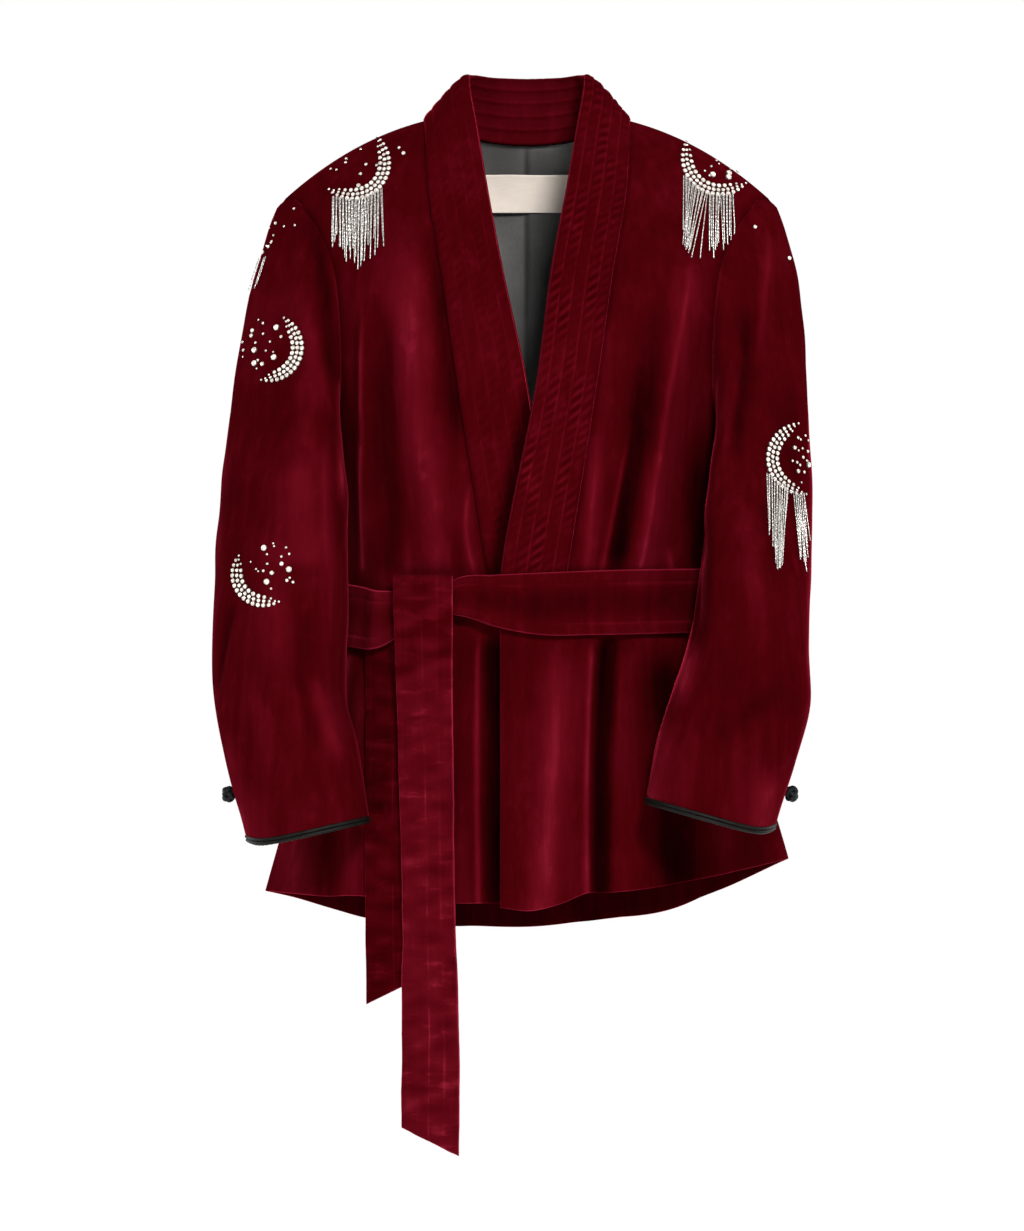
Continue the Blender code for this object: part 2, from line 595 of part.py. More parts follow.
def build_cord(name, edge_outer, edge_inner, down, mat):
    """Oval cord lying along the cuff edge, one seam gap below it."""
    middle = (edge_outer + edge_inner) / 2
    out = unit(edge_outer - edge_inner)
    turn = np.linspace(0, 2 * np.pi, CORD_SIDES, endpoint=False)
    middle = middle + (CORD_HEIGHT / 2 + SEAM_GAP) * down
    section = (np.cos(turn)[:, None, None] * CORD_WALL / 2 * out[None]
               + np.sin(turn)[:, None, None] * CORD_HEIGHT / 2 * down[None])
    rings = middle[None] + section
    sides, count = rings.shape[:2]
    index = np.arange(sides * count).reshape(sides, count)
    a, b = index, np.roll(index, -1, axis=1)
    faces = np.stack([a, b, np.roll(b, -1, axis=0), np.roll(a, -1, axis=0)], axis=-1).reshape(-1, 4)
    flat = rings.reshape(-1, 3)
    across = np.cross(rings[0, 1] - rings[0, 0], rings[1, 0] - rings[0, 0])
    if np.dot(across, out[0]) < 0:
        faces = faces[:, ::-1]
    add_object(name, flat, faces.tolist(), mat)


def build_knot(name, centre, mat):
    bpy.ops.mesh.primitive_uv_sphere_add(segments=KNOT_SIDES, ring_count=KNOT_RINGS, radius=KNOT_RADIUS * MM)
    knot = bpy.context.object
    knot.name = name
    knot.location = centre * MM
    knot.data.name = name
    knot.data.materials.append(mat)
    knot.data.shade_smooth()


for old in list(bpy.data.objects):
    bpy.data.objects.remove(old, do_unlink=True)

velvet = material("velvet", (0.07, 0.002, 0.006), 0.85)
band_velvet = material("band_velvet", (0.08, 0.002, 0.007), 0.85)
belt_velvet = material("belt_velvet", (0.075, 0.002, 0.008), 0.8)
lining_cloth = material("lining_cloth", (0.07, 0.068, 0.066), 0.5)
label_cloth = material("label_cloth", (0.68, 0.63, 0.56), 0.7)
cord_satin = material("cord_satin", (0.03, 0.026, 0.018), 0.4)
knot_satin = material("knot_satin", (0.008, 0.008, 0.01), 0.45)
beads = material("beads", (0.6, 0.58, 0.55), 0.25, 0.6)

# Rows of the body, with one at the end of the band and one where the plain edge starts.
upper_rows = np.linspace(0, ROW_UNDERARM, UPPER_ROWS)
waist_rows = np.linspace(ROW_UNDERARM, row_of_level(BAND_END), WAIST_ROWS)
skirt_rows = np.linspace(row_of_level(EDGE_START), ROW_HEM, SKIRT_ROWS)
body_rows = np.concatenate([upper_rows, waist_rows[1:], skirt_rows])
underarm = UPPER_ROWS - 1
band_rows = UPPER_ROWS + WAIST_ROWS - 1
band_levels = by_row(TORSO, "level", body_rows[:band_rows])

front_shares = np.linspace(0, 1, FRONT_COLUMNS)
neck_shares = NECK_SHARE * np.sin(np.linspace(-np.pi / 2, np.pi / 2, NECK_COLUMNS))
flank_shares = NECK_SHARE + (1 - NECK_SHARE) * front_shares[1:]
back_shares = np.concatenate([-flank_shares[::-1], neck_shares, flank_shares])

front_left = front_grid(True, body_rows, front_shares)
front_right = front_grid(False, body_rows, front_shares)
back = back_grid(body_rows, back_shares, NECK_SHARE)
back_rise = fold_height(back, FOLDS_BACK)
back_rise[:, [0, -1]] = 0
back_rise[0, :] = 0
back = back + back_rise[..., None] * grid_normals(back, np.zeros(3))

neck_edge = back[0, FRONT_COLUMNS - 1:FRONT_COLUMNS - 1 + NECK_COLUMNS]
band = band_grid(front_left[:band_rows, 0], neck_edge, front_right[:band_rows, 0], band_levels)

arms = {}
for name, table, sign, front, back_column in (
        ("left", SLEEVE_LEFT, 1, front_left, -1), ("right", SLEEVE_RIGHT, -1, front_right, 0)):
    loop, loop_angle = armhole_loop(front[:underarm + 1, -1], back[:underarm + 1, back_column])
    arm_rows = np.concatenate([np.linspace(0, 1, CAP_ROWS), np.linspace(1, len(table), ARM_ROWS)[1:]])
    around = np.concatenate([loop_angle, [2 * np.pi]])
    points = sleeve_point(table, sign, loop, loop_angle, around[None, :], arm_rows[:, None])
    arms[name] = (table, sign, loop, loop_angle, points)


panels = {"front_left": front_left, "front_right": front_right, "back": back, "collar_band": band}
panels = {name: (points, grid_normals(points, np.array(BODY_MIDDLE))) for name, points in panels.items()}
for name, (table, sign, loop, loop_angle, points) in arms.items():
    full = grid_normals(points, around_arm(table, sign, points[:, :-1])[:, :1])
    full[:, 0] = full[:, -1] = unit(full[:, 0] + full[:, -1])
    for part, half, normals in zip(("upper", "under"), sleeve_halves(points[:, :-1], loop_angle),
                                   sleeve_halves(full[:, :-1], loop_angle)):
        panels["sleeve_" + name + "_" + part] = (half, normals.copy())
body = [panel for name, panel in panels.items() if not name.startswith("sleeve")]
sleeves = [panel for name, panel in panels.items() if name.startswith("sleeve")]
sew(body, sleeves)

sewn_wall("front_left", panels["front_left"], 0, VELVET, ("top", "start", "end"), velvet)
sewn_wall("front_right", panels["front_right"], 0, VELVET, ("top", "start", "end"), velvet)
sewn_wall("back", panels["back"], 0, VELVET, ("top", "start", "end"), velvet)
sewn_wall("collar_band", panels["collar_band"], BAND_PROUD, BAND_SUNK, ("start",), band_velvet)
for name in ("left", "right"):
    for part in ("upper", "under"):
        piece = "sleeve_" + name + "_" + part
        sewn_wall(piece, panels[piece], 0, VELVET, ("top", "start", "end"), velvet)

build_belt(belt_velvet)
build_tail("belt_tail_front", TAIL_FRONT, TAIL_FRONT_ROWS, BELT_WALL, belt_velvet)
build_tail("belt_tail_back", TAIL_BACK, TAIL_BACK_ROWS, TAIL_BACK_WALL, belt_velvet)

# Lining and label inside the back, seen through the neck.
lining, lining_normal = (grid[:underarm + 1, LINING_MARGIN:-LINING_MARGIN] for grid in panels["back"])
lining = lining.copy()
lining[0] += LINING_TOP * unit(lining[1] - lining[0])
lining_face = lining - LINING_INSET * lining_normal
wall("lining_back", lining_face, lining_face - LINING_WALL * lining_normal, lining_cloth)
label_x = np.linspace(LABEL.left, LABEL.right, LABEL_COLUMNS)[None, :]
label_z = np.linspace(LABEL.top_left, LABEL.bottom_left, LABEL_ROWS)[:, None]
label = torso_at(label_x + 0 * label_z, label_z + 0 * label_x, "back")
label_normal = grid_normals(label, np.zeros(3))
label_face = label - LABEL_INSET * label_normal
wall("label", label_face, label_face - LABEL_WALL * label_normal, label_cloth)

build_front_fringe("fringe_shoulder_right", FRINGE_FRONT_RIGHT, beads)
build_front_fringe("fringe_shoulder_left", FRINGE_FRONT_LEFT, beads)
for letter, reach in zip("ab", FRINGE_SLEEVE_LEFT):
    build_sleeve_fringe("fringe_sleeve_left_" + letter, reach, *arms["left"][:4], beads)
build_sleeve_fringe("fringe_sleeve_right", FRINGE_SLEEVE_RIGHT, *arms["right"][:4], beads)

# Cords along the cuff edges, and a knot button beside each.
for name, (table, sign, loop, loop_angle, points) in arms.items():
    cuff = points[-1, :-1]
    full = grid_normals(points, around_arm(table, sign, points[:, :-1])[:, :1])[-1, :-1]
    down = unit(points[-1, :-1] - points[-2, :-1])
    build_cord("cuff_cord_" + name, cuff, cuff - VELVET * full, down, cord_satin)
    row = sleeve_row_at(table, sign, loop, loop_angle, 0, cuff[:, 2].min() + KNOT_HEIGHT)
    seat = sleeve_point(table, sign, loop, loop_angle, np.zeros(1), np.array([row]))[0]
    build_knot("cuff_knot_" + name, seat + np.array([sign * (KNOT_RADIUS + KNOT_CLEAR), 0, 0]), knot_satin)
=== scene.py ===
import bpy
import numpy as np
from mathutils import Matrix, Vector


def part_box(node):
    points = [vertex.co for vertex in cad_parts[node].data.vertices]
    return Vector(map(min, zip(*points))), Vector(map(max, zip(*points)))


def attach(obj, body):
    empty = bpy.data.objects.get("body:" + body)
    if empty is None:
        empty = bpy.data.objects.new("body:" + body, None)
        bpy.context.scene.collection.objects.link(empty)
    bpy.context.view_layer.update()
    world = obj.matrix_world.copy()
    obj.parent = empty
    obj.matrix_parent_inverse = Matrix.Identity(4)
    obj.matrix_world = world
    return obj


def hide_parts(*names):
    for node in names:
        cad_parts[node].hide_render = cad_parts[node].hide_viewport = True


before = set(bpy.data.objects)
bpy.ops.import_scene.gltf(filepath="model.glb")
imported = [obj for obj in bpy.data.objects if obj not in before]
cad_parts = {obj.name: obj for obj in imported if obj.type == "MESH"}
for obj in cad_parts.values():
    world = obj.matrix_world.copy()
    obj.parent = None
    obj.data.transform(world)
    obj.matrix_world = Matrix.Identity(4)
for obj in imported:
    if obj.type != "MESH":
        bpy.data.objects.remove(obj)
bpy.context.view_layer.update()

mm = 0.001


def table(names, *rows):  # a sizes table: one named column for each word
    return dict(zip(names.split(), np.array(rows, float).T))


def cubic(u, first, leave, last, arrive):  # line from first to last that leaves and arrives along two slopes
    start = (1 + 2 * u) * (1 - u) ** 2 * first + u * (1 - u) ** 2 * leave
    return start + u * u * (3 - 2 * u) * last - u * u * (1 - u) * arrive


def hermite(keys, values, at):  # smooth line through the values, its slopes taken from both neighbours
    slope = np.gradient(values, keys)
    at = np.clip(at, keys[0], keys[-1])
    i = np.clip(np.searchsorted(keys, at) - 1, 0, len(keys) - 2)
    step = keys[i + 1] - keys[i]
    return cubic((at - keys[i]) / step, values[i], step * slope[i], values[i + 1], step * slope[i + 1])


def byRow(sizes, name, at):  # a column read between its rows
    return hermite(np.arange(len(sizes[name]), dtype=float), sizes[name], at)


def byHeight(sizes, key, name, z):  # a column read by a height that falls from row to row
    return hermite(-sizes[key], sizes[name], -np.asarray(z, float))


def smooth(u):  # 0 to 1 with level ends: u^2 (3 - 2u)
    u = np.clip(u, 0, 1)
    return u * u * (3 - 2 * u)


def bell(d, width):  # 1 at the middle, falling off to both sides: e^-(d / width)^2
    return np.exp(-(d / width) ** 2)


def grooves(share, places, width):  # narrow bells at stitch lines
    return sum(bell(share - spot, width) for spot in places)


def unit(v):  # vectors at length 1
    return v / np.maximum(np.linalg.norm(v, axis=-1, keepdims=True), 1e-9)


def unevenness(a, b, size, seed):  # ten plane waves of about that size in random directions, about -1 to 1
    rng = np.random.default_rng(seed)
    heading = rng.uniform(0, np.pi, 10)
    phase = rng.uniform(0, 2 * np.pi, 10)
    wave = 2 * np.pi / (size * rng.uniform(0.7, 1.7, 10))
    total = 0
    for h, p, w in zip(heading, phase, wave):
        total = total + np.sin(w * (a * np.cos(h) + b * np.sin(h)) + p)
    return total / 4


# Body: rings from the shoulder line down to the hem.
torso = table(
    "level halfWidth frontDepth backDepth corner drop armholeX",
    (28, 218, 0, 0, 0.42, 80, 218),  # shoulder line
    (17, 217, 20, 33, 0.42, 77.5, 209),
    (-6, 214, 44, 66, 0.43, 68, 200),
    (-46, 209, 72, 90, 0.46, 50, 186),
    (-105, 202, 98, 105, 0.49, 28, 172),
    (-185, 191, 115, 112, 0.50, 9, 167),
    (-243, 181, 117, 110, 0.50, 1, 169),
    (-275, 178, 115, 107, 0.50, 0, 178),  # underarm
    (-345, 172, 108, 97, 0.50, 0, 172),
    (-418, 170, 101, 90, 0.52, 0, 170),  # waist
    (-500, 181, 106, 97, 0.58, 0, 181),
    (-600, 211, 113, 107, 0.68, 0, 211),
    (-690, 236, 118, 112, 0.75, 0, 236))  # hem
rowUnderarm, rowWaist, rowHem = 7, 9, 12
shoulderPower = 2.45
hemFrontRight = table("x z", (-236, -676), (-202, -679), (-147, -680), (-66, -686), (-35, -686), (0, -682),
                      (60, -664))
hemFrontLeft = table("x z", (-24, -690), (4, -693), (29, -687), (54, -677), (81, -676), (163, -663),
                     (236, -647))
hemBack = table("x z", (-236, -676), (-215, -681), (-147, -701), (-42, -709), (3, -710), (58, -703.5),
                (129, -694), (163, -681), (236, -647))
wrap = {"bandEnd": -428, "edgeStart": -437, "edgeLeft": -24, "edgeRight": -45, "inset": 7, "start": 50,
        "run": 45, "under": 4, "dip": 3.4, "dipRun": 4.5, "shoulderFade": 25}
neck = {"x": 93, "z": -2, "rise": 20, "share": 0.3, "fade": 1.5}
# Rim and inside tones: edgeTone paints a highlight along free edges, seamTone paints shade along seam edges,
# insideTone paints shade on the inner face.
cloth = {"wall": 1.6, "seamGap": -0.35, "rimSteps": 3, "edgeTone": 1.1, "seamTone": -0.45,
         "insideTone": -0.30}
panels = {"columns": 175, "rows": 231, "backColumns": 201, "backRows": 201, "linedAbove": -640, "swell": 0.8,
          "swellSize": 70, "backSwellSize": 80, "backSeed": 5, "sideFade": 20, "topFade": 30,
          "backTopFade": 40, "edgeFade": 16, "armShade": 0.25, "armShadeRun": 5, "middle": (0, 10, -150)}

# Quilted band: its seam on the fronts and its free edge, by height.
bandLeft = table(
    "level seamX edgeX edgeY edgeZ",
    (28, 93, 51, 16, 62), (12, 92.5, 50, -8, 44), (-5, 92, 44.5, -28, 12), (-35, 90, 38, -54, -27),
    (-114, 78, 22, -99, -114), (-207, 65, 10, -117, -207), (-391, 36, -24, -103, -391),
    (-428, 30, -28, -101, -428))
bandRight = {name: values.copy() for name, values in bandLeft.items()}
bandRight["edgeX"][5:] = 2, -22, -26
bandStand = table("share x y z", (0, 0, 60, 57), (0.3, 18, 58, 57.5), (0.6, 34, 51, 58.5), (0.85, 46, 37, 61),
                  (1, 51, 16, 62))


def rowOfLevel(level):  # the row whose level is that high
    rows = np.linspace(0, rowHem, 900)
    return np.interp(-np.asarray(level, float), -byRow(torso, "level", rows), rows)


def torsoDepth(s, row, side):  # y of a ring: depth (1 - s^2)^corner, to the front or the back
    bow = np.maximum(1 - s * s, 0) ** byRow(torso, "corner", row)
    return byRow(torso, side + "Depth", row) * (-1 if side == "front" else 1) * bow


def shoulderDrop(s, row):  # fall of a ring towards the arm: drop |s|^p
    return byRow(torso, "drop", row) * np.abs(s) ** shoulderPower


def torsoPoint(s, row, side, hem):  # x = width s, y = ring depth, z = level - shoulder drop + hem sag
    sag = smooth((row - rowWaist) / (rowHem - rowWaist))
    z = byRow(torso, "level", row) - shoulderDrop(s, row)
    z = z + sag * (hermite(hem["x"], hem["z"], s * torso["halfWidth"][-1]) - torso["level"][-1])
    return np.stack([byRow(torso, "halfWidth", row) * s, torsoDepth(s, row, side), z], axis=-1)


def torsoAt(x, z, side):  # plain body surface at a width and height, held at the hem below it
    x, z = np.broadcast_arrays(np.asarray(x, float), np.asarray(z, float))
    row = rowOfLevel(z)
    for _ in range(12):
        s = np.clip(x / byRow(torso, "halfWidth", row), -1, 1)
        row = rowOfLevel(z + shoulderDrop(s, row))
    return np.stack([x, torsoDepth(s, row, side), z], axis=-1)


def gridNormals(points, middle):  # normals of a grid, pointing away from the middle
    normal = unit(np.cross(np.gradient(points, axis=0), np.gradient(points, axis=1)))
    return normal if np.sum(normal * (points - middle)) > 0 else -normal


def runs(points, axis):  # distance along the grid from its first line, in mm
    step = np.linalg.norm(np.diff(points, axis=axis), axis=-1)
    return np.concatenate([np.zeros_like(np.take(step, [0], axis)), np.cumsum(step, axis=axis)], axis=axis)


# Folds: a line from top to low across the cloth, its widths to both sides, depth, and a tone that paints
# shade into troughs and highlights onto ridges, with a painted highlight line along a crest.
foldLook = {"crestPower": 1.4, "crestTone": 1.5, "crestWidth": 2.6, "runOn": 0.2, "edgeBelow": -600,
            "beltTop": -394, "beltReach": 8}


def foldTable(*rows):  # a row for each fold
    return table("top zTop low zLow left right depth bow fade crest tone", *rows)


def foldLines(across, z, folds):
    # Height: depth e^-(d / width)^2 beside a leaning line, run out at both ends, peaked where it has a crest.
    # Tone: painted shade where the fold's tone is negative and painted highlight where it is positive, over
    # the same width, and a soft painted highlight line along a crest.
    height = np.zeros(np.broadcast(across, z).shape)
    nap = np.zeros_like(height)
    for aTop, zTop, aLow, zLow, left, right, depth, bow, fade, crest, tone in zip(*folds.values()):
        along = np.clip((z - zTop) / (zLow - zTop), 0, 1)
        d = across - (aTop + (aLow - aTop) * along + bow * 4 * along * (1 - along))
        width = np.where(d < 0, left, right)
        starts = smooth((zTop - z) / fade)
        power = foldLook["crestPower"] if crest > 0 else 2
        height += depth * starts * smooth((z - zLow) / fade) * np.exp(-(np.abs(d) / width) ** power)
        meets = zLow < foldLook["edgeBelow"] or abs(zLow - foldLook["beltTop"]) < foldLook["beltReach"]
        runOn = foldLook["runOn"] if meets else 1  # the tone runs on into belt, hem and cuff
        reach = starts * smooth((z - zLow) / (fade * runOn))
        crestLine = foldLook["crestTone"] * crest * bell(d, foldLook["crestWidth"])
        nap += reach * (tone * bell(d, width) + crestLine)
    return height, nap


leftFolds = foldTable(
    (151, -90, 101, -394, 12, 15, 7, -3, 60, 0.20, 0.36),  # long ridge from the armhole to the belt
    (118, -195, 79, -398, 13, 10, -8, -2, 150, 0, -1.00),  # trough beside it, with painted shade
    (124, -110, 100, -330, 20, 18, -3, 0, 100, 0, -0.48),
    (64, -250, 53, -394, 7, 10, 4, 0, 70, 0.10, 0.45),  # ridge beside the band seam
    (96, -245, 66, -394, 5, 6, 2.4, 0, 70, 0.35, 0.20),
    (127, -365, 131, -394, 3, 4, 1.3, 0, 14, 0.40, 0),
    (166, -230, 152, -394, 14, 14, -3, 0, 80, 0, -0.60),
    (92, 0, 88, -110, 10, 12, 1.5, 0, 50, 0, 0.06),
    (-14, -446, -12, -750, 8, 14, 3.5, 0, 30, 0, 0),  # skirt: edge that laps over
    (27, -440, 2, -750, 13, 13, 5.5, 6, 50, 0, 0.60),
    (58, -446, 56, -750, 13, 7, 5, -4, 24, 0.40, 0.05),
    (74, -440, 69, -750, 8, 14, -11, -4, 20, 0, -1.00),  # deep trough
    (86, -446, 81, -750, 7, 15, 5, -5, 24, 0.12, 0.32),
    (128, -446, 138, -750, 22, 20, -8, 4, 50, 0, -0.75),
    (160, -460, 176, -750, 14, 16, 6, 0, 60, 0, 0.15))
rightFolds = foldTable(
    (-148, -140, -148, -394, 4.5, 8, 4.5, 0, 60, 0.50, 0.05),  # thin ridge beside the armhole
    (-157, -130, -157, -394, 6, 5, -1.2, 0, 60, 0, 0.10),
    (-133, -120, -124, -394, 11, 12, -5, 0, 70, 0, -0.40),
    (-108, -45, -96, -345, 27, 17, 4.5, -3, 110, 0, 0.54),  # broad soft ridge
    (-96, -225, -77, -394, 13, 15, 4, 0, 100, 0, 0.42),
    (-86, -70, -60, -300, 10, 12, -3, 0, 80, 0, -0.50),
    (-47, -296, -46, -394, 5, 7, 2.6, -8, 40, 0.3, 0.15),
    (-72, -330, -62, -394, 6, 6, -2.4, 0, 40, 0, -0.3),
    (-108, -345, -106, -394, 7, 7, 2, 0, 36, 0.2, 0.1),
    (-43, -442, -41, -750, 11, 7, 6, -2, 22, 0.45, 0.0),  # skirt
    (-27, -440, -27, -750, 10, 8, -4, 0, 20, 0, -1.00),
    (-56, -560, -54, -750, 10, 9, -1, 0, 90, 0, 0.25),
    (-156, -448, -160, -540, 4, 6, 3.5, -4, 24, 0.45, 0.1),
    (-150, -470, -158, -750, 8, 9, 4, 0, 50, 0, 0.2),
    (-172, -452, -188, -750, 10, 12, -7, 0, 40, 0, -0.25),
    (-128, -452, -124, -750, 12, 12, 4, 0, 50, 0, 0),
    (-204, -560, -208, -750, 16, 16, 4, 0, 40, 0, 0.55))
backFolds = foldTable(
    (70, -110, 40, -394, 22, 24, -6, 4, 70, 0, -0.45),
    (-80, -120, -44, -394, 24, 20, -6, -5, 70, 0, -0.45),
    (104, -150, 78, -394, 16, 14, 5, 0, 60, 0.15, 0.35),
    (-118, -170, -82, -394, 14, 17, 5, 0, 60, 0.15, 0.35),
    (14, -230, 6, -394, 9, 12, 3, 0, 50, 0.15, 0.25),
    (-22, -310, -17, -394, 6, 6, -2.5, 0, 40, 0, -0.4),
    (140, -300, 126, -394, 7, 8, -3, 0, 40, 0, -0.4),
    (-138, -310, -128, -394, 5, 7, 3, 0, 40, 0.4, 0.1),
    (0, -446, 0, -770, 24, 24, 6, 3, 40, 0, 0.40),  # skirt
    (48, -442, 62, -770, 12, 13, -13, 0, 26, 0, -0.95),
    (-50, -442, -70, -770, 13, 12, -12, 0, 26, 0, -0.90),
    (68, -446, 88, -770, 5, 16, 6, 0, 30, 0.45, 0.25),
    (-70, -446, -96, -770, 16, 5, 6, 0, 30, 0.45, 0.25),
    (104, -450, 130, -770, 18, 20, 5, 3, 40, 0, 0.30),
    (-108, -450, -138, -770, 20, 18, 5, -3, 40, 0, 0.30),
    (134, -452, 176, -770, 14, 16, -9, 0, 40, 0, -0.60),
    (-136, -452, -180, -770, 16, 14, -9, 0, 40, 0, -0.60),
    (24, -440, 32, -560, 5, 6, -3, 0, 26, 0, -0.4),
    (-26, -440, -34, -540, 6, 5, -3, 0, 26, 0, -0.4))
fronts = {"left": dict(sign=1, hem=hemFrontLeft, edge=wrap["edgeLeft"], folds=leftFolds, seed=3),
          "right": dict(sign=-1, hem=hemFrontRight, edge=wrap["edgeRight"], folds=rightFolds, seed=4)}


def wrapDip(x, z):  # how far the right front and its band lie inside where the left ones cross them
    edge = np.where(z > wrap["bandEnd"], byHeight(bandLeft, "edgeZ", "edgeX", z), wrap["edgeLeft"])
    return wrap["inset"] * smooth((x - edge + wrap["start"]) / wrap["run"])


def outerAngle(row):  # ring angle of the armhole, or of the side seam below the underarm
    reach = byRow(torso, "armholeX", row) / byRow(torso, "halfWidth", row)
    return np.where(row >= rowUnderarm, np.pi / 2, np.arcsin(np.clip(reach, 0, 1)))


def bodyRows(count):  # rows at even steps of height
    return rowOfLevel(np.linspace(torso["level"][0], torso["level"][-1], count))


def frontGrid(front):  # torso rings from the band seam or front edge to armhole and side seam
    rows = bodyRows(panels["rows"])
    level = byRow(torso, "level", rows)
    below = smooth((wrap["bandEnd"] - level) / (wrap["bandEnd"] - wrap["edgeStart"]))
    edgeX = (byHeight(bandLeft, "level", "seamX", level) - wrap["under"]) * (1 - below)
    edgeX = edgeX + front["edge"] * below
    start = np.arcsin(edgeX / byRow(torso, "halfWidth", rows))
    angle = start[:, None] + (outerAngle(rows) - start)[:, None] * np.linspace(0, 1, panels["columns"])
    points = torsoPoint(np.sin(angle) * front["sign"], rows[:, None] + 0 * angle, "front", front["hem"])
    x, z = points[..., 0], points[..., 2]
    fromEdge = runs(points, 1)
    fromSide = fromEdge[:, -1:] - fromEdge
    rise, nap = foldLines(x, z, front["folds"])
    rise += panels["swell"] * unevenness(x, z, panels["swellSize"], front["seed"])
    rise *= smooth(fromSide / panels["sideFade"]) * smooth(runs(points, 0) / panels["topFade"])
    rise *= np.maximum(smooth(fromEdge / panels["edgeFade"]), below[:, None])
    nap -= panels["armShade"] * bell(fromSide, panels["armShadeRun"]) * (rows < rowUnderarm)[:, None]
    groove = smooth((wrap["under"] + wrap["dipRun"] - fromEdge) / wrap["dipRun"]) * (1 - below[:, None])
    rise -= wrap["dip"] * groove * smooth(-points[..., 1] / wrap["shoulderFade"])  # under the band
    points = points + rise[..., None] * gridNormals(points, np.zeros(3))
    if front["sign"] < 0:
        points[..., 1] += wrapDip(points[..., 0], points[..., 2])
    return points, nap


def neckRow(angle):  # body row on which the back neck seam runs
    rows = np.linspace(0, rowUnderarm, 600)[:, None]
    s = np.sin(angle)
    seamZ = neck["z"] + neck["rise"] * (byRow(torso, "halfWidth", rows) * s / neck["x"]) ** 2
    above = byRow(torso, "level", rows) - shoulderDrop(s, rows) - seamZ
    return rows[np.clip(np.sum(above > 0, axis=0), 0, len(rows) - 1), 0]


def backGrid(rows, shares):  # torso rings from side seam to side seam, in the middle from the neck seam
    neckAngle = np.arcsin(neck["x"] / torso["halfWidth"][0])
    size = np.abs(shares)
    inside = size < neck["share"]
    beyond = np.clip((size - neck["share"]) / (1 - neck["share"]), 0, 1)
    angle = neckAngle + (outerAngle(rows)[:, None] - neckAngle) * beyond
    angle = np.where(inside, neckAngle * size / neck["share"], angle)
    top = np.where(inside, neckRow(neckAngle * np.minimum(size / neck["share"], 1)), 0)
    row = rows[:, None] + top * np.clip(1 - rows / rowUnderarm, 0, 1)[:, None] ** neck["fade"]
    points = torsoPoint(np.sin(angle) * np.sign(shares), row, "back", hemBack)
    x, z = points[..., 0], points[..., 2]
    fromSide = runs(points, 1)
    fromSide = np.minimum(fromSide, fromSide[:, -1:] - fromSide)
    rise, nap = foldLines(x, z, backFolds)
    rise += panels["swell"] * unevenness(x, z, panels["backSwellSize"], panels["backSeed"])
    rise *= smooth(fromSide / panels["sideFade"]) * smooth(runs(points, 0) / panels["backTopFade"])
    return points + rise[..., None] * gridNormals(points, np.zeros(3)), nap


# Meshes
def makeObject(name, vertices, faces, materials, slotOfFace=None, nap=None):  # mesh in metres
    mesh = bpy.data.meshes.new(name)
    mesh.from_pydata((np.asarray(vertices) * mm).tolist(), [], faces)
    for material in materials:
        mesh.materials.append(material)
    if slotOfFace is not None:
        mesh.polygons.foreach_set("material_index", np.asarray(slotOfFace, np.int32))
    if nap is not None:
        mesh.attributes.new("nap", "FLOAT", "POINT").data.foreach_set("value", np.asarray(nap, np.float32))
    mesh.shade_smooth()
    mesh.update()
    return linked(bpy.data.objects.new(name, mesh))


def linked(thing):  # an object put into the scene
    bpy.context.scene.collection.objects.link(thing)
    return thing


def gridFaces(index):  # quads between neighbouring rows and columns of an index grid
    return np.stack([index[:-1, :-1], index[:-1, 1:], index[1:, 1:], index[1:, :-1]], axis=-1).reshape(-1, 4)


def loopClosed(grid):  # the first column again after the last
    return np.concatenate([grid, grid[:, :1]], axis=1)


def borders(face, looped):  # border lines as row and column numbers, and the way out of the sheet there
    rows, cols = face.shape[:2]
    out = np.zeros_like(face)
    out[0] += unit(face[0] - face[1])
    out[-1] += unit(face[-1] - face[-2])
    if looped:
        around = np.arange(cols)
        return [(0 * around, around), (0 * around + rows - 1, -around % cols)], out
    out[:, 0] += unit(face[:, 0] - face[:, 1])
    out[:, -1] += unit(face[:, -1] - face[:, -2])
    down = np.arange(rows - 1)
    across = np.arange(cols - 1)
    r = np.concatenate([0 * across, down, 0 * across + rows - 1, rows - 1 - down])
    c = np.concatenate([across, 0 * down + cols - 1, cols - 1 - across, 0 * down])
    return [(r, c)], out


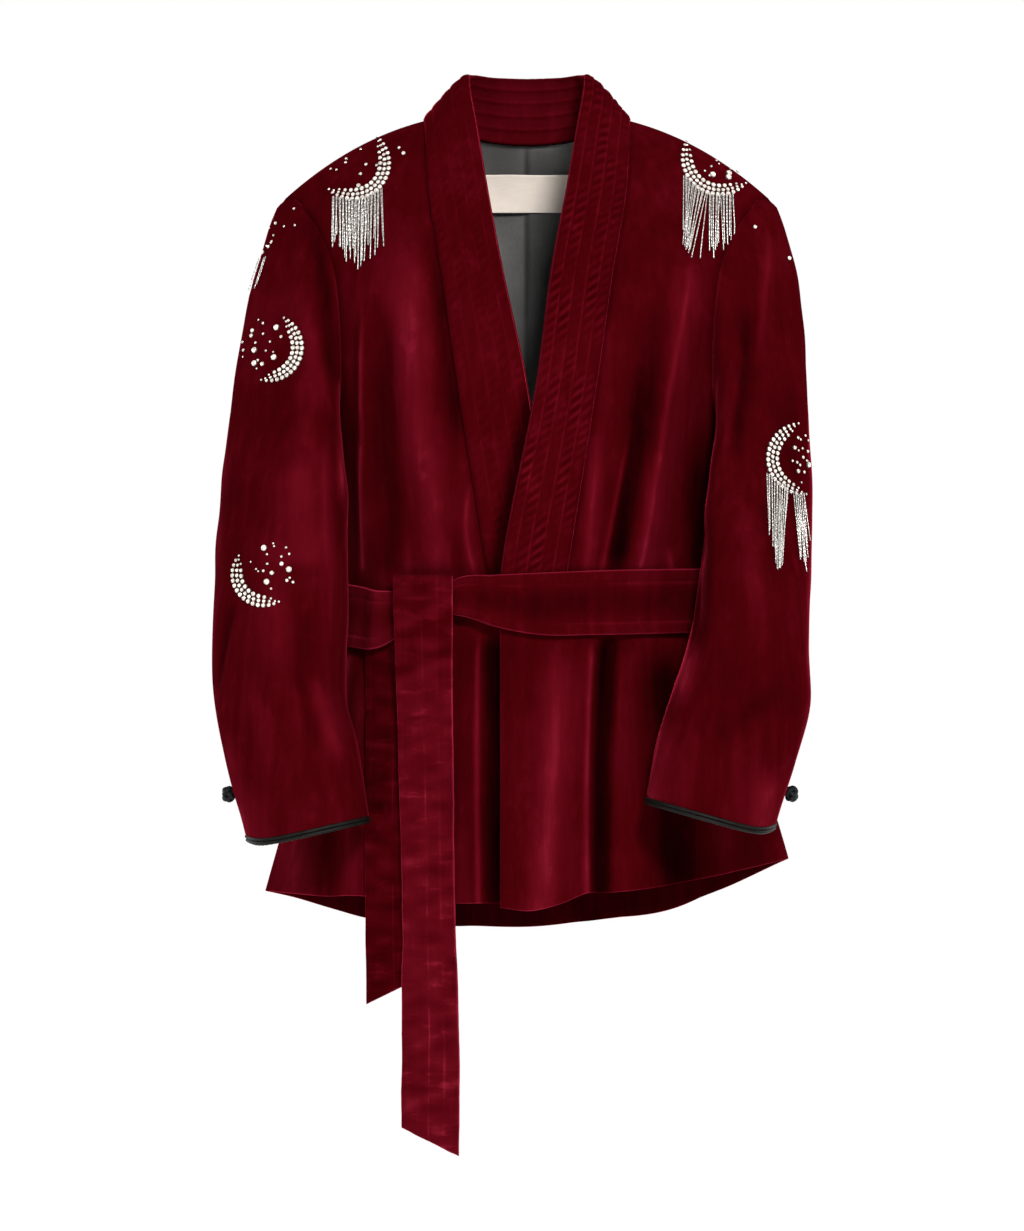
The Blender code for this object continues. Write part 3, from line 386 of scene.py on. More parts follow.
def clothShell(name, face, middle, materials, wall, nap=None, looped=False, innerLevel=None, rim=None,
               inside=None):
    # Closed sheet: the face, every second point of it moved in by the wall, and a half-round rim.
    # Rows and columns are odd in number (columns even on a loop), so the coarser inside meets every corner.
    rows, cols = face.shape[:2]
    nap = np.zeros((rows, cols)) if nap is None else nap
    # By default the inner face gets painted shade.
    inside = np.full((rows, cols), cloth["insideTone"]) if inside is None else inside
    edge = np.full((rows, cols), cloth["edgeTone"])
    if rim is not None:  # painted highlight and shade of the rim at the first row, last column, last row and first column
        edge[0], edge[:, -1], edge[-1], edge[:, 0] = rim
    normal = gridNormals(face, middle)
    if looped:
        across = np.roll(face, -1, axis=1) - np.roll(face, 1, axis=1)
        turned = unit(np.cross(np.gradient(face, axis=0), across))
        normal = turned * np.sign(np.sum(turned * normal))
    lines, out = borders(face, looped)
    out = unit(out - normal * np.sum(out * normal, axis=-1, keepdims=True))
    isBorder = np.zeros((rows, cols, 1))
    for r, c in lines:
        isBorder[r, c] = 1
    face = face - out * isBorder * (wall / 2 + cloth["seamGap"])
    back = face - wall * normal
    index = np.arange(rows * cols).reshape(rows, cols)
    inner = rows * cols + np.arange(index[::2, ::2].size).reshape(index[::2, ::2].shape)
    innerIndex = np.full((rows, cols), -1)
    innerIndex[::2, ::2] = inner
    if looped:
        index, inner = loopClosed(index), loopClosed(inner)
    outerFaces, innerFaces = gridFaces(index), gridFaces(inner)[:, ::-1]
    i, j = rows // 2, cols // 2
    facing = np.cross(face[i, j + 1] - face[i, j], face[i + 1, j + 1] - face[i, j])
    vertices = [face.reshape(-1, 3), back[::2, ::2].reshape(-1, 3)]
    tones = [nap.ravel(), inside[::2, ::2].ravel()]
    quads, corners = [], []
    count = len(vertices[0]) + len(vertices[1])
    for r, c in lines:
        turn = np.pi * np.arange(1, cloth["rimSteps"] + 1)[:, None, None] / (cloth["rimSteps"] + 1)
        swing = normal[r, c] * np.cos(turn) + out[r, c] * np.sin(turn)
        ring = (face[r, c] + back[r, c]) / 2 + wall / 2 * swing
        ids = count + np.arange(ring[..., 0].size).reshape(ring.shape[:2])
        count += ids.size
        vertices.append(ring.reshape(-1, 3))
        # The rim's tone, highest halfway round, paints a highlight along free edges and shade along seams.
        tones.append((nap[r, c] + edge[r, c] * np.sin(turn[..., 0])).ravel())
        strip = loopClosed(np.concatenate([index[r, c][None], ids]))
        ends = innerIndex[r, c][::2]
        last = strip[-1]
        corner = np.stack([last[:-1:2], last[1::2], last[2::2], np.roll(ends, -1), ends], axis=-1)
        quads.append(gridFaces(strip)[:, ::-1])
        corners.append(corner[:, ::-1])
    groups = [outerFaces, innerFaces, np.concatenate(quads), np.concatenate(corners)]
    if np.dot(facing, normal[i, j]) < 0:
        groups = [group[:, ::-1] for group in groups]
    slot = np.zeros(sum(len(group) for group in groups), int)
    if innerLevel is not None:  # lining above that height, turned-up velvet below it
        z = back[::2, ::2, 2]
        isLining = (z[:-1, :-1] + z[1:, 1:]) / 2 > innerLevel
        slot[len(outerFaces):len(outerFaces) + len(innerFaces)] = isLining.ravel()
    faces = sum((group.tolist() for group in groups), [])
    return makeObject(name, np.concatenate(vertices), faces, materials, slot, np.concatenate(tones))


# Materials
def colour(r, g, b):  # linear, with full alpha
    return (r, g, b, 1.0)


def join(value, socket):  # a link from a Wire, or a constant on the socket itself
    if isinstance(value, Wire):
        value.tree.links.new(value.socket, socket)
    else:
        socket.default_value = value


class Wire:  # a socket of a node tree, with the arithmetic of Math nodes
    def __init__(self, tree, socket):
        self.tree = tree
        self.socket = socket

    def node(self, kind, settings=None, out=0, **values):  # any node: its settings first, then its sockets
        made = self.tree.nodes.new(kind)
        for name, value in (settings or {}).items():
            if name == "stops":
                ramp = made.color_ramp.elements
                while len(ramp) < len(value):
                    ramp.new(0.5)
                for element, (at, paint) in zip(ramp, value):
                    element.position = at
                    element.color = colour(*paint)
            else:
                setattr(made, name, value)
        for key, value in values.items():
            join(value, made.inputs[int(key[1:]) if key[1:].isdigit() else key.replace("_", " ")])
        return Wire(self.tree, made.outputs[out])

    def math(self, operation, a, b):  # one Math node
        return self.node("ShaderNodeMath", {"operation": operation}, i0=a, i1=b)

    def __add__(self, other):
        return self.math("ADD", self, other)

    def __sub__(self, other):
        return self.math("SUBTRACT", self, other)

    def __rsub__(self, other):
        return self.math("SUBTRACT", other, self)

    def __mul__(self, other):
        return self.math("MULTIPLY", self, other)

    __radd__, __rmul__ = __add__, __mul__

    def ramp(self, low, high):  # 0 below low, 1 above high, soft between
        return self.node("ShaderNodeMapRange", {"interpolation_type": "SMOOTHSTEP"}, Value=self,
                         From_Min=low, From_Max=high)

    def mix(self, first, second):  # this value blends two colours
        return self.node("ShaderNodeMix", {"data_type": "RGBA"}, out=2, i0=self, i6=first, i7=second)

    def noise(self, scale, detail, roughness):  # soft noise of about 0 to 1
        return self.node("ShaderNodeTexNoise", Vector=self, Scale=scale, Detail=detail, Roughness=roughness)

    def stretched(self, x, y, z):  # coordinates times three scales
        return self.node("ShaderNodeMapping", Vector=self, Scale=(x, y, z))

    def nap(self):  # the per-point tone on the mesh: the cloth's own tone with painted shade and highlights
        return self.node("ShaderNodeAttribute", {"attribute_name": "nap"}, out=2)

    def bump(self, strength, distance):  # this value as a height, in metres
        return self.node("ShaderNodeBump", Strength=strength, Distance=distance, Height=self)


def startMaterial(name):  # a material, its shader and its Object coordinates
    material = bpy.data.materials.new(name)
    material.use_nodes = True
    tree = material.node_tree
    coords = tree.nodes.new("ShaderNodeTexCoord")
    return material, tree.nodes["Principled BSDF"], Wire(tree, coords.outputs["Object"])


def feed(shader, **sockets):  # a shader's sockets by name
    for name, value in sockets.items():
        join(value, shader.inputs[name.replace("_", " ")])


# A noise is its scale, detail and roughness.
# The tone ramp colours the velvet by its per-point tone: painted shade in troughs at the dark end, painted
# highlights at the light end.
velvetLook = {"tones": ((0.0, (0.0010, 0.0001, 0.0001)), (0.28, (0.013, 0.0002, 0.0006)),
                        (0.5, (0.039, 0.0005, 0.0016)), (0.72, (0.078, 0.0020, 0.0055)),
                        (1.0, (0.210, 0.0100, 0.0260))),
              "nap": 0.4, "patch": 0.18, "streak": 0.12, "crush": 0.12, "grain": 0.10,
              "patchNoise": (8, 3, 0.55), "streakNoise": (1.5, 4, 0.6), "streakRun": (70, 70, 6),
              "crushNoise": (1.6, 5, 0.68), "crushed": (0.5, 0.72), "lie": (40, 40, 26),
              "grainNoise": (1500, 2, 0.6),
              "roughness": 0.95, "gloss": 0.1, "pile": 0.22, "pileHeight": 0.0006,
              "sheen": 0.3, "sheenRoughness": 0.24, "tint": colour(1.0, 0.04, 0.10)}
bandLook = {**velvetLook, "patch": 0.12, "streak": 0.08, "crush": 0.16}
beltLook = {**velvetLook, "patch": 0.14, "streak": 0.10, "crush": 0.15}
tailLook = {**velvetLook, "patch": 0.08, "streak": 0.08, "crush": 0.26, "lie": (22, 22, 85)}
satinLook = {"dark": colour(0.036, 0.035, 0.034), "light": colour(0.150, 0.144, 0.141),
             "toneNoise": (14, 2, 0.5), "threads": (900, 900, 45), "roughness": 0.5, "bump": 0.2,
             "bumpHeight": 0.0003}
ribbonLook = {"dark": colour(0.84, 0.72, 0.62), "light": colour(0.96, 0.86, 0.76), "across": (2200, 2200, 60),
              "along": (60, 60, 2200), "mottle": (60, 3, 0.5), "roughness": 0.55, "bump": 0.3,
              "bumpHeight": 0.0003}
yarnLook = {"thread": (900, 2, 0.5), "mottle": (120, 2, 0.5), "roughness": 0.4, "bump": 0.35,
            "bumpHeight": 0.0003, "specular": 0.12}
yarns = {"cord_satin": (colour(0.001, 0.0009, 0.0007), colour(0.008, 0.007, 0.005)),
         "knot_satin": (colour(0.002, 0.002, 0.0025), colour(0.010, 0.010, 0.012))}
# The settings are a metal cup whose dark colour also paints the shade round each stone.
hardLooks = {"cut_stones": dict(dark=colour(0.46, 0.42, 0.37), light=colour(0.84, 0.78, 0.71), metal=0.15,
                                roughness=0.08, size=260),
             "settings_and_shade": dict(dark=colour(0.05, 0.04, 0.035), light=colour(0.18, 0.15, 0.13), metal=0.5,
                                    roughness=0.35, size=400),
             "bead_strands": dict(dark=colour(0.22, 0.21, 0.19), light=colour(0.74, 0.71, 0.67), metal=0.4,
                                  roughness=0.16, size=700)}


def velvet(name, look):  # pile colour from its per-point tone with its painted shade and highlights, with patches, streaks and a fine grain
    material, shader, coords = startMaterial(name)
    patches = coords.noise(*look["patchNoise"]) - 0.5
    streaks = coords.stretched(*look["streakRun"]).noise(*look["streakNoise"]) - 0.5
    crushed = coords.stretched(*look["lie"]).noise(*look["crushNoise"]).ramp(*look["crushed"])
    grain = coords.noise(*look["grainNoise"]) - 0.5
    tone = coords.nap() * look["nap"] + 0.5 + patches * (2 * look["patch"]) + streaks * (2 * look["streak"])
    tone = tone + crushed * (look["crush"] / 2) + grain * look["grain"]
    feed(shader, Base_Color=tone.node("ShaderNodeValToRGB", {"stops": look["tones"]}, Fac=tone),
         Roughness=look["roughness"] - look["gloss"] * crushed,
         Normal=(grain * 0.6 + crushed * 0.4).bump(look["pile"], look["pileHeight"]), Specular_IOR_Level=0.0,
         Sheen_Weight=look["sheen"], Sheen_Roughness=look["sheenRoughness"], Sheen_Tint=look["tint"])
    return material


def satin(name, look):  # fine warp lines over a soft change of tone, with painted shade and highlight at its pleat
    material, shader, coords = startMaterial(name)
    tone = coords.noise(*look["toneNoise"]).ramp(0.3, 0.7)
    warp = coords.stretched(*look["threads"]).noise(1.0, 1, 0.5)
    feed(shader, Base_Color=(tone * 0.5 + warp * 0.4 + coords.nap()).mix(look["dark"], look["light"]),
         Roughness=look["roughness"] + 0.18 * warp, Normal=warp.bump(look["bump"], look["bumpHeight"]),
         Sheen_Weight=0.1, Sheen_Roughness=0.4)
    return material


def ribbon(name, look):  # woven ribbon: crossing threads with a slight mottling
    material, shader, coords = startMaterial(name)
    across = coords.stretched(*look["across"]).noise(1.0, 1, 0.5)
    along = coords.stretched(*look["along"]).noise(1.0, 1, 0.5)
    weave = across * 0.5 + along * 0.5
    tone = (weave * 0.7 + coords.noise(*look["mottle"]) * 0.3).ramp(0.25, 0.75)
    feed(shader, Base_Color=tone.mix(look["dark"], look["light"]), Roughness=look["roughness"] + 0.3 * weave,
         Normal=weave.bump(look["bump"], look["bumpHeight"]))
    return material


def yarn(name, dark, light):  # shiny twisted yarn
    material, shader, coords = startMaterial(name)
    thread = coords.noise(*yarnLook["thread"])
    tone = (thread * 0.6 + coords.noise(*yarnLook["mottle"]) * 0.4).ramp(0.3, 0.75)
    feed(shader, Base_Color=tone.mix(dark, light), Roughness=yarnLook["roughness"] + 0.25 * thread,
         Normal=thread.bump(yarnLook["bump"], yarnLook["bumpHeight"]),
         Specular_IOR_Level=yarnLook["specular"])
    return material


def polished(name, dark, light, metal, roughness, size):  # glass or metal, its tone shifting by the stone
    material, shader, coords = startMaterial(name)
    spread = coords.noise(size, 2, 0.6).ramp(0.3, 0.7)
    feed(shader, Base_Color=spread.mix(dark, light), Metallic=metal, Roughness=roughness + 0.15 * spread)
    return material


velvetCloth = velvet("velvet", velvetLook)
bandCloth = velvet("band_velvet", bandLook)
beltCloth = velvet("belt_velvet", beltLook)
tailCloth = velvet("belt_end_velvet", tailLook)
liningCloth = satin("lining_satin", satinLook)
labelCloth = ribbon("label_ribbon", ribbonLook)
cordYarn, knotYarn = (yarn(name, *tones) for name, tones in yarns.items())
stoneGlass, settingsAndShade, strandGlass = (polished(name, **look) for name, look in hardLooks.items())
print("materials made")


def place(piece, slot, *nodes):  # every piece rides the one body and stands for its solids
    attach(piece, "root")
    if nodes:
        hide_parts(*nodes)
    return piece


def sewn(name, face, middle, materials, wall, slot, node, held, restsOn, looped=False, **finish):
    # A cut piece in the place of its solid. The doubled area of each face cell is worked out but not used.
    piece = place(clothShell(name, face, middle, materials, wall, looped=looped, **finish), slot, node)
    if looped:
        face = loopClosed(face)
    doubled = np.linalg.norm(np.cross(face[1:, 1:] - face[:-1, :-1], face[1:, :-1] - face[:-1, 1:]), axis=-1)


# Fronts and back
bodyFaces = {"front_" + side: frontGrid(front) for side, front in fronts.items()}
bodyFaces["back"] = backGrid(bodyRows(panels["backRows"]), np.linspace(-1, 1, panels["backColumns"]))
seamTone, hemTone = cloth["seamTone"], cloth["edgeTone"]
for name, (face, nap) in bodyFaces.items():
    firstEdge = seamTone if name == "back" else np.where(face[:, 0, 2] < wrap["bandEnd"], hemTone, seamTone)
    sewn("jacket_" + name, face, np.array(panels["middle"]), [velvetCloth, liningCloth], cloth["wall"],
         "velvet", name, "hung", ["jacket_collar_band"], nap=nap, innerLevel=panels["linedAbove"],
         rim=(seamTone, seamTone, hemTone, firstEdge))
print("fronts and back made")


# Sleeves: ovals from the upper arm to the cuff, joined to the armhole by a smooth cap.
sleeveColumns = "z outer inner y depth tilt turn shear"
sleeveRight = table(
    sleeveColumns,
    (-330, 276, 161, -50, 62, 0, 28, 20), (-400, 280, 161, -60, 60, 0, 29, 18),
    (-468, 282, 162, -69, 57, 4, 30, 8), (-510, 279, 162, -77, 53, 9, 32, 0),
    (-552, 270, 152, -90, 48, 16, 32, 0), (-620, 253, 142, -106, 43, 25, 32, 0))
sleeveLeft = table(
    sleeveColumns,
    (-330, 256, 160, -54, 60, 0, 28, 20), (-385, 254, 155, -77, 59, 0, 26, 12),
    (-448, 252, 147, -91, 57, 6, 23, 0), (-504, 253, 130, -104, 53, 14, 20, 0),
    (-550, 240, 117, -117, 48, 24, 20, 0), (-607, 224, 107, -127, 43, 33, 20, 0))
sleeveCut = {"capUnder": 1.1, "capPower": 8, "capSide": 0.22, "seamFront": 153, "seamBack": 354,
             "columns": 103, "capRows": 80, "rows": 181, "linedAbove": -560, "cuffTone": 0.2,
             "cornerTurn": 0.55, "swell": 0.9, "swellSize": 60, "capFade": 30, "cuffFade": 40,
             "cuffKeep": 0.25, "seamFade": 14, "rollHighlight": 0.55, "rollAt": 3.5, "rollRun": 2.5,
             "rollFrom": 50, "rollFade": 30, "outsideFrom": -0.35, "outsideRun": 1.1, "head": 4.5,
             "headStart": 12, "headRun": 60, "ease": 1.5, "easeEnd": -580, "easeFade": 110}
# Upper sleeves: folds by width and height. Under sleeves: by degrees round the arm, each about 1 mm.
upperRightFolds = foldTable(
    (-206, -110, -178, -262, 13, 11, 4.5, 0, 60, 0, 0.35),
    (-190, -60, -172, -240, 9, 8, -4, 0, 50, 0, -0.45),
    (-232, -150, -214, -330, 16, 16, -3, 6, 90, 0, -0.20),
    (-178, -250, -176, -420, 7, 9, 3, -6, 60, 0.1, 0.20),
    (-171, -205, -166, -340, 4, 6, 1.5, 0, 40, 0.30, 0.40),
    (-236, -320, -216, -520, 16, 18, 3.5, -6, 90, 0, 0.20),
    (-196, -380, -204, -520, 12, 12, -3, 0, 60, 0, -0.35),
    (-200, -180, -206, -390, 18, 18, 1.0, 0, 80, 0, 0.45),
    (-262, -405, -281, -512, 6, 5, -2.4, 0, 30, 0, -0.45),  # elbow crease
    (-192, -478, -168, -568, 11, 10, 4, 0, 30, 0, 0.42),
    (-206, -470, -186, -556, 6, 6, -3, 0, 26, 0, -0.35),
    (-250, -470, -232, -580, 8, 9, 2.5, 0, 40, 0, 0.20),
    (-270, -520, -252, -660, 14, 9, 1.0, 0, 40, 0, 0.50),  # painted highlight strip above the cuff
    (-250, -570, -240, -660, 12, 15, 0.5, 0, 40, 0, 0.42))
upperLeftFolds = foldTable(
    (216, -70, 204, -215, 9, 10, 4.5, 0, 45, 0.15, 0.35),
    (204, -120, 186, -310, 8, 9, -4.5, 0, 60, 0, -0.45),
    (196, -175, 174, -306, 7, 8, 4, 0, 40, 0.1, 0.0),
    (232, -180, 222, -420, 14, 14, -3, 5, 90, 0, -0.25),
    (184, -300, 206, -470, 12, 12, 3.5, 6, 60, 0, 0.25),
    (160, -330, 148, -480, 10, 9, -3, 0, 50, 0, -0.35),
    (236, -480, 190, -530, 12, 12, -2.4, 0, 24, 0, -0.18),  # elbow creases
    (228, -512, 176, -566, 12, 12, 2, 0, 26, 0, 0.10),
    (150, -440, 134, -516, 8, 8, 2.0, 0, 30, 0, 0.75),
    (176, -500, 160, -620, 14, 14, -2.4, 0, 40, 0, -0.20),
    (120, -500, 106, -620, 7, 11, 0.5, 0, 40, 0, 0.60),
    (220, -560, 210, -640, 11, 9, 1.0, 0, 30, 0, 0.55))
underFolds = foldTable(
    (205, -190, 226, -420, 14, 14, -5, 0, 70, 0, -0.5),
    (244, -160, 286, -430, 16, 16, 5, 0, 80, 0, 0.35),
    (306, -140, 318, -400, 13, 13, -4, 0, 80, 0, -0.4),
    (190, -420, 236, -520, 9, 9, 4, 0, 28, 0.2, 0.2),
    (330, -420, 262, -500, 12, 12, -6, 0, 24, 0, -0.6),
    (322, -456, 252, -536, 9, 9, 5, 0, 24, 0.3, 0.2),
    (310, -500, 270, -590, 12, 12, -4, 0, 30, 0, -0.4))


def armholeLoop(sign):  # closed armhole line, down the front and up the back, with its angles
    down = np.linspace(0, rowUnderarm, 160)
    reach = np.sin(outerAngle(down)) * sign
    front = torsoPoint(reach, down, "front", hemFrontLeft)
    back = torsoPoint(reach, down, "back", hemBack)
    loop = np.concatenate([front, back[-2::-1]])
    length = runs(loop[None], 1)[0]
    return loop, 2 * np.pi * length / length[-1]


arms = {"left": dict(sign=1, sizes=sleeveLeft, loop=armholeLoop(1), upper=upperLeftFolds,
                     under=underFolds, seed=11, capOut=0.5, cuffRound=10),
        "right": dict(sign=-1, sizes=sleeveRight, loop=armholeLoop(-1), upper=upperRightFolds,
                      under=underFolds, seed=17, capOut=0.46, cuffRound=8)}


def sleeveRing(arm, angle, row):  # tilted, sheared oval: angle 0 is the outer line, a quarter turn the front
    at = {name: byRow(arm["sizes"], name, row) for name in arm["sizes"]}
    turned = angle + np.radians(at["turn"]) * (1 - np.cos(angle)) / 2
    half = np.sqrt(((at["outer"] - at["inner"]) / 2) ** 2 - at["shear"] ** 2)
    x = (at["outer"] + at["inner"]) / 2 + half * np.cos(turned) - at["shear"] * np.sin(turned)
    y = at["y"] - at["depth"] * np.sin(turned)
    z = at["z"] - at["tilt"] / 2 * np.cos(turned)
    fromOuter = np.mod(angle + np.pi, 2 * np.pi) - np.pi
    corner = bell(fromOuter, sleeveCut["cornerTurn"])  # rounded outer corner of the cuff
    z = z + arm["cuffRound"] * corner * smooth(row - (len(arm["sizes"]["z"]) - 2))
    return np.stack([arm["sign"] * x, y, z], axis=-1)


def sleevePoint(arm, angle, row):  # row 0 to 1: cubic from armhole to upper arm; then ring by ring
    angle, row = np.broadcast_arrays(angle, row)
    line, lineAngle = arm["loop"]
    wrapped = np.mod(angle, 2 * np.pi)
    start = np.stack([np.interp(wrapped, lineAngle, line[:, k]) for k in range(3)], axis=-1)
    end = sleeveRing(arm, angle, np.zeros_like(row))
    below = (1 - np.cos(angle)) / 2
    out = arm["capOut"] * (1 - below) + sleeveCut["capUnder"] * below ** sleeveCut["capPower"]
    lean = np.stack([arm["sign"] * out, -sleeveCut["capSide"] * np.sin(angle), -np.ones_like(row)], axis=-1)
    fall = sleeveRing(arm, angle, np.full_like(row, 0.1)) - end
    reach = np.linalg.norm(end - start, axis=-1, keepdims=True)
    cap = cubic(np.clip(row, 0, 1)[..., None], start, reach * unit(lean), end, reach * unit(fall))
    return np.where(row[..., None] <= 1, cap, sleeveRing(arm, angle, np.maximum(row - 1, 0)))


def sleeveFace(arm, half):  # sleeve grid with its folds pushed along the normals
    cut = sleeveCut
    cap = np.linspace(0, 1, cut["capRows"])
    row = np.concatenate([cap, np.linspace(1, len(arm["sizes"]["z"]), cut["rows"] - len(cap) + 1)[1:]])
    isUpper = half == "upper"
    seams = (cut["seamBack"] - 360, cut["seamFront"]) if isUpper else (cut["seamFront"], cut["seamBack"])
    degrees = np.linspace(*seams, cut["columns"])
    angle = np.radians(degrees)[None, :] + 0 * row[:, None]
    points = sleevePoint(arm, angle, row[:, None] + 0 * angle)
    axis = sleevePoint(arm, np.radians(np.arange(0, 360, 6.0))[None, :], row[:, None]).mean(1, keepdims=True)
    x, z = points[..., 0], points[..., 2]
    rise, nap = foldLines(x if isUpper else degrees[None, :], z, arm[half])
    rise += cut["swell"] * unevenness(degrees[None, :], z, cut["swellSize"], arm["seed"])
    down, edge = runs(points, 0), runs(points, 1)
    kept = cut["cuffKeep"] + (1 - cut["cuffKeep"]) * smooth((down[-1:] - down) / cut["cuffFade"])
    rise *= smooth(down / cut["capFade"]) * kept
    rise *= smooth(edge / cut["seamFade"]) * smooth((edge[:, -1:] - edge) / cut["seamFade"])
    if isUpper:  # a painted highlight where the sleeve rolls over the armhole seam in front
        rolled = smooth((degrees[None, :] - cut["rollFrom"]) / cut["rollFade"])
        nap = nap + cut["rollHighlight"] * bell(down - cut["rollAt"], cut["rollRun"]) * rolled
    # Raised sleeve head, and a little ease along the outer arm.
    outside = smooth((np.cos(angle) - cut["outsideFrom"]) / cut["outsideRun"])
    rise += outside * cut["head"] * smooth(down / cut["headStart"]) * np.exp(-down / cut["headRun"])
    eased = smooth(down / cut["easeFade"]) * smooth((z - cut["easeEnd"]) / cut["easeFade"])
    rise += outside * cut["ease"] * eased
    return points + rise[..., None] * gridNormals(points, axis), nap, axis, degrees


sleeveDegrees, sleeveAxes = {}, {}
for side, arm in arms.items():
    for half in ("upper", "under"):
        name = "sleeve_" + side + "_" + half
        face, nap, sleeveAxes[name], sleeveDegrees[name] = sleeveFace(arm, half)
        bodyFaces[name] = face, nap
        # The cuff's rim gets a painted highlight, the seam rims painted shade.
        sewn("jacket_" + name, face, sleeveAxes[name], [velvetCloth, liningCloth], cloth["wall"], "velvet",
             name, "hung", ["jacket_front_" + side, "jacket_back"], nap=nap,
             innerLevel=sleeveCut["linedAbove"], rim=(seamTone, seamTone, sleeveCut["cuffTone"], seamTone))
print("sleeves made")


# Quilted band collar
# The band's rim tones paint highlights on its ends and free edge and shade on its seam edge.
band = {"sideRows": 241, "neckRows": 111, "columns": 61, "rows": 5, "wall": 3.0, "proud": 1.2, "bulge": 1.6,
        "puff": 1.0, "puffPower": 0.55, "flatEdge": 14, "ripple": 0.55, "rippleLength": 10, "slant": 0.9,
        "leftTo": 140, "leftFade": 120, "rightShare": 0.30, "rippleTone": 0.30, "lineTone": 0.45,
        "linePlace": 0.10, "lineWidth": 0.07, "tuckIn": 5.5, "tuckDown": 1.5, "rollIn": 2.0,
        "rollShare": 0.07, "cornerRun": 26, "cornerRise": 3.5, "cornerRoll": 6, "lapShade": 0.8,
        "lapRun": 18, "lapBelow": -190, "lapFade": 60, "insideTone": 0.20, "insideDip": 0.25,
        "rim": (0.2, 0.35, 0.2, -0.9), "seeds": (21, 22, 23)}


def bandRails():  # seam and free edge: up the left front, round the neck, down the right front
    levels = np.linspace(torso["level"][0], wrap["bandEnd"], band["sideRows"])
    row = rowOfLevel(levels)
    rails = []
    for sizes, sign in ((bandLeft, 1), (bandRight, -1)):
        s = byHeight(bandLeft, "level", "seamX", levels) / byRow(torso, "halfWidth", row) * sign
        seam = torsoPoint(s, row, "front", hemFrontLeft)
        free = np.stack([byHeight(sizes, "level", "edge" + k, levels) for k in "XYZ"], axis=-1)
        free[:, 0] *= sign
        if sign < 0:
            for rail in (seam, free):
                rail[:, 1] += wrapDip(rail[:, 0], rail[:, 2])
        rails.append((seam, free))
    angle = np.arcsin(neck["x"] / torso["halfWidth"][0]) * np.linspace(1, -1, band["neckRows"] + 2)[1:-1]
    seam = torsoPoint(np.sin(angle), neckRow(np.abs(angle)), "back", hemBack)
    share = seam[:, 0] / neck["x"]
    free = np.stack([hermite(bandStand["share"], bandStand[k], np.abs(share)) for k in "xyz"], axis=-1)
    free[:, 0] *= np.sign(share)
    return (np.concatenate([rails[0][0][::-1], seam, rails[1][0]]),
            np.concatenate([rails[0][1][::-1], free, rails[1][1]]))


def bandFace():  # seam to free edge, bowed, puffed between the stitch rows and rippled slantwise
    seam, free = bandRails()
    w = np.linspace(0, 1, band["columns"])[None, :]
    points = seam[:, None] * (1 - w[..., None]) + free[:, None] * w[..., None]
    axis = np.stack([0 * seam[:, 0], 0 * seam[:, 0] + 20, seam[:, 2]], axis=-1)[:, None]
    along = runs(((seam + free) / 2)[None], 1)[0][:, None]
    channel = np.floor(w * band["rows"] - 1e-6)
    within = w * band["rows"] - channel
    # Leftness is 1 on the left front and 0 on the right one.
    leftness = smooth((along[-1] / 2 + band["leftTo"] - along) / band["leftFade"])
    strength = band["rightShare"] + (1 - band["rightShare"]) * leftness
    phaseSeed, patchSeed, lineSeed = band["seeds"]
    phase = 2.1 * channel + 1.4 * unevenness(along, 40 * channel, 60, phaseSeed)
    ripple = np.sin(2 * np.pi * (along / band["rippleLength"] + band["slant"] * within) + phase)
    patchy = np.clip(0.45 + 0.7 * unevenness(along, 60 * channel, 70, patchSeed), 0, 1.3)
    puffed = np.abs(np.sin(np.pi * within)) ** band["puffPower"]
    puffed = puffed * smooth(band["flatEdge"] * w) * smooth(band["flatEdge"] * (1 - w))
    rippled = strength * patchy * ripple * puffed
    rise = band["puff"] * puffed * (0.55 + 0.45 * strength) + band["ripple"] * rippled
    rise = rise + band["bulge"] * 4 * w * (1 - w) + band["proud"]
    rolled = np.clip(1 - w / band["rollShare"], 0, 1) ** 2  # the seam edge rolls in, except beside the neck
    rise = rise - band["rollIn"] * rolled * smooth(-seam[:, 1:2] / wrap["shoulderFade"])
    line = bell(within - band["linePlace"], band["lineWidth"]) * (channel > 0)
    broken = 0.7 + 0.3 * unevenness(along, 30 * channel, 40, lineSeed)
    # rippleTone paints highlights on the ripples' crests and shade in their hollows.
    nap = band["lineTone"] * line * (0.5 + 0.5 * leftness) * broken + band["rippleTone"] * rippled
    tuck = smooth((seam[:, 1:2] - 5) / 30) * (1 - w) ** 2  # at the back neck it covers the lining's top
    points = points + (rise - band["tuckIn"] * tuck)[..., None] * gridNormals(points, axis)
    points[..., 2] -= band["tuckDown"] * tuck
    corner = sum(bell(along - along[k], band["cornerRun"]) for k in (band["sideRows"], -band["sideRows"] - 1))
    roll = band["cornerRise"] * w ** 2 - band["cornerRoll"] * w ** 8
    points[..., 2] += corner * roll  # the free edge rolls over beside the neck
    x, z = points[..., 0], points[..., 2]
    # Painted shadow that the left band's free edge casts on the right band.
    lapped = smooth((x - byHeight(bandLeft, "edgeZ", "edgeX", z)) / band["lapRun"] + 1)
    nap = nap - band["lapShade"] * lapped * smooth((band["lapBelow"] - z) / band["lapFade"]) * (1 - leftness)
    # Inside: painted light over its shaded inside, light lines beside the stitch rows, and painted shade in
    # the stitch hollows.
    inside = 0.5 * band["lineTone"] * line + band["insideTone"] + 0 * along
    inside = inside - band["insideDip"] * grooves(within, (0.0, 1.0), 0.06)
    return points, nap, axis, inside


face, nap, axis, inside = bandFace()
sewn("jacket_collar_band", face, axis, [bandCloth], band["wall"], "band_velvet", "collar_band", "hung",
     ["jacket_back", "jacket_front_left", "jacket_front_right"], nap=nap, rim=band["rim"], inside=inside)
print("band made")


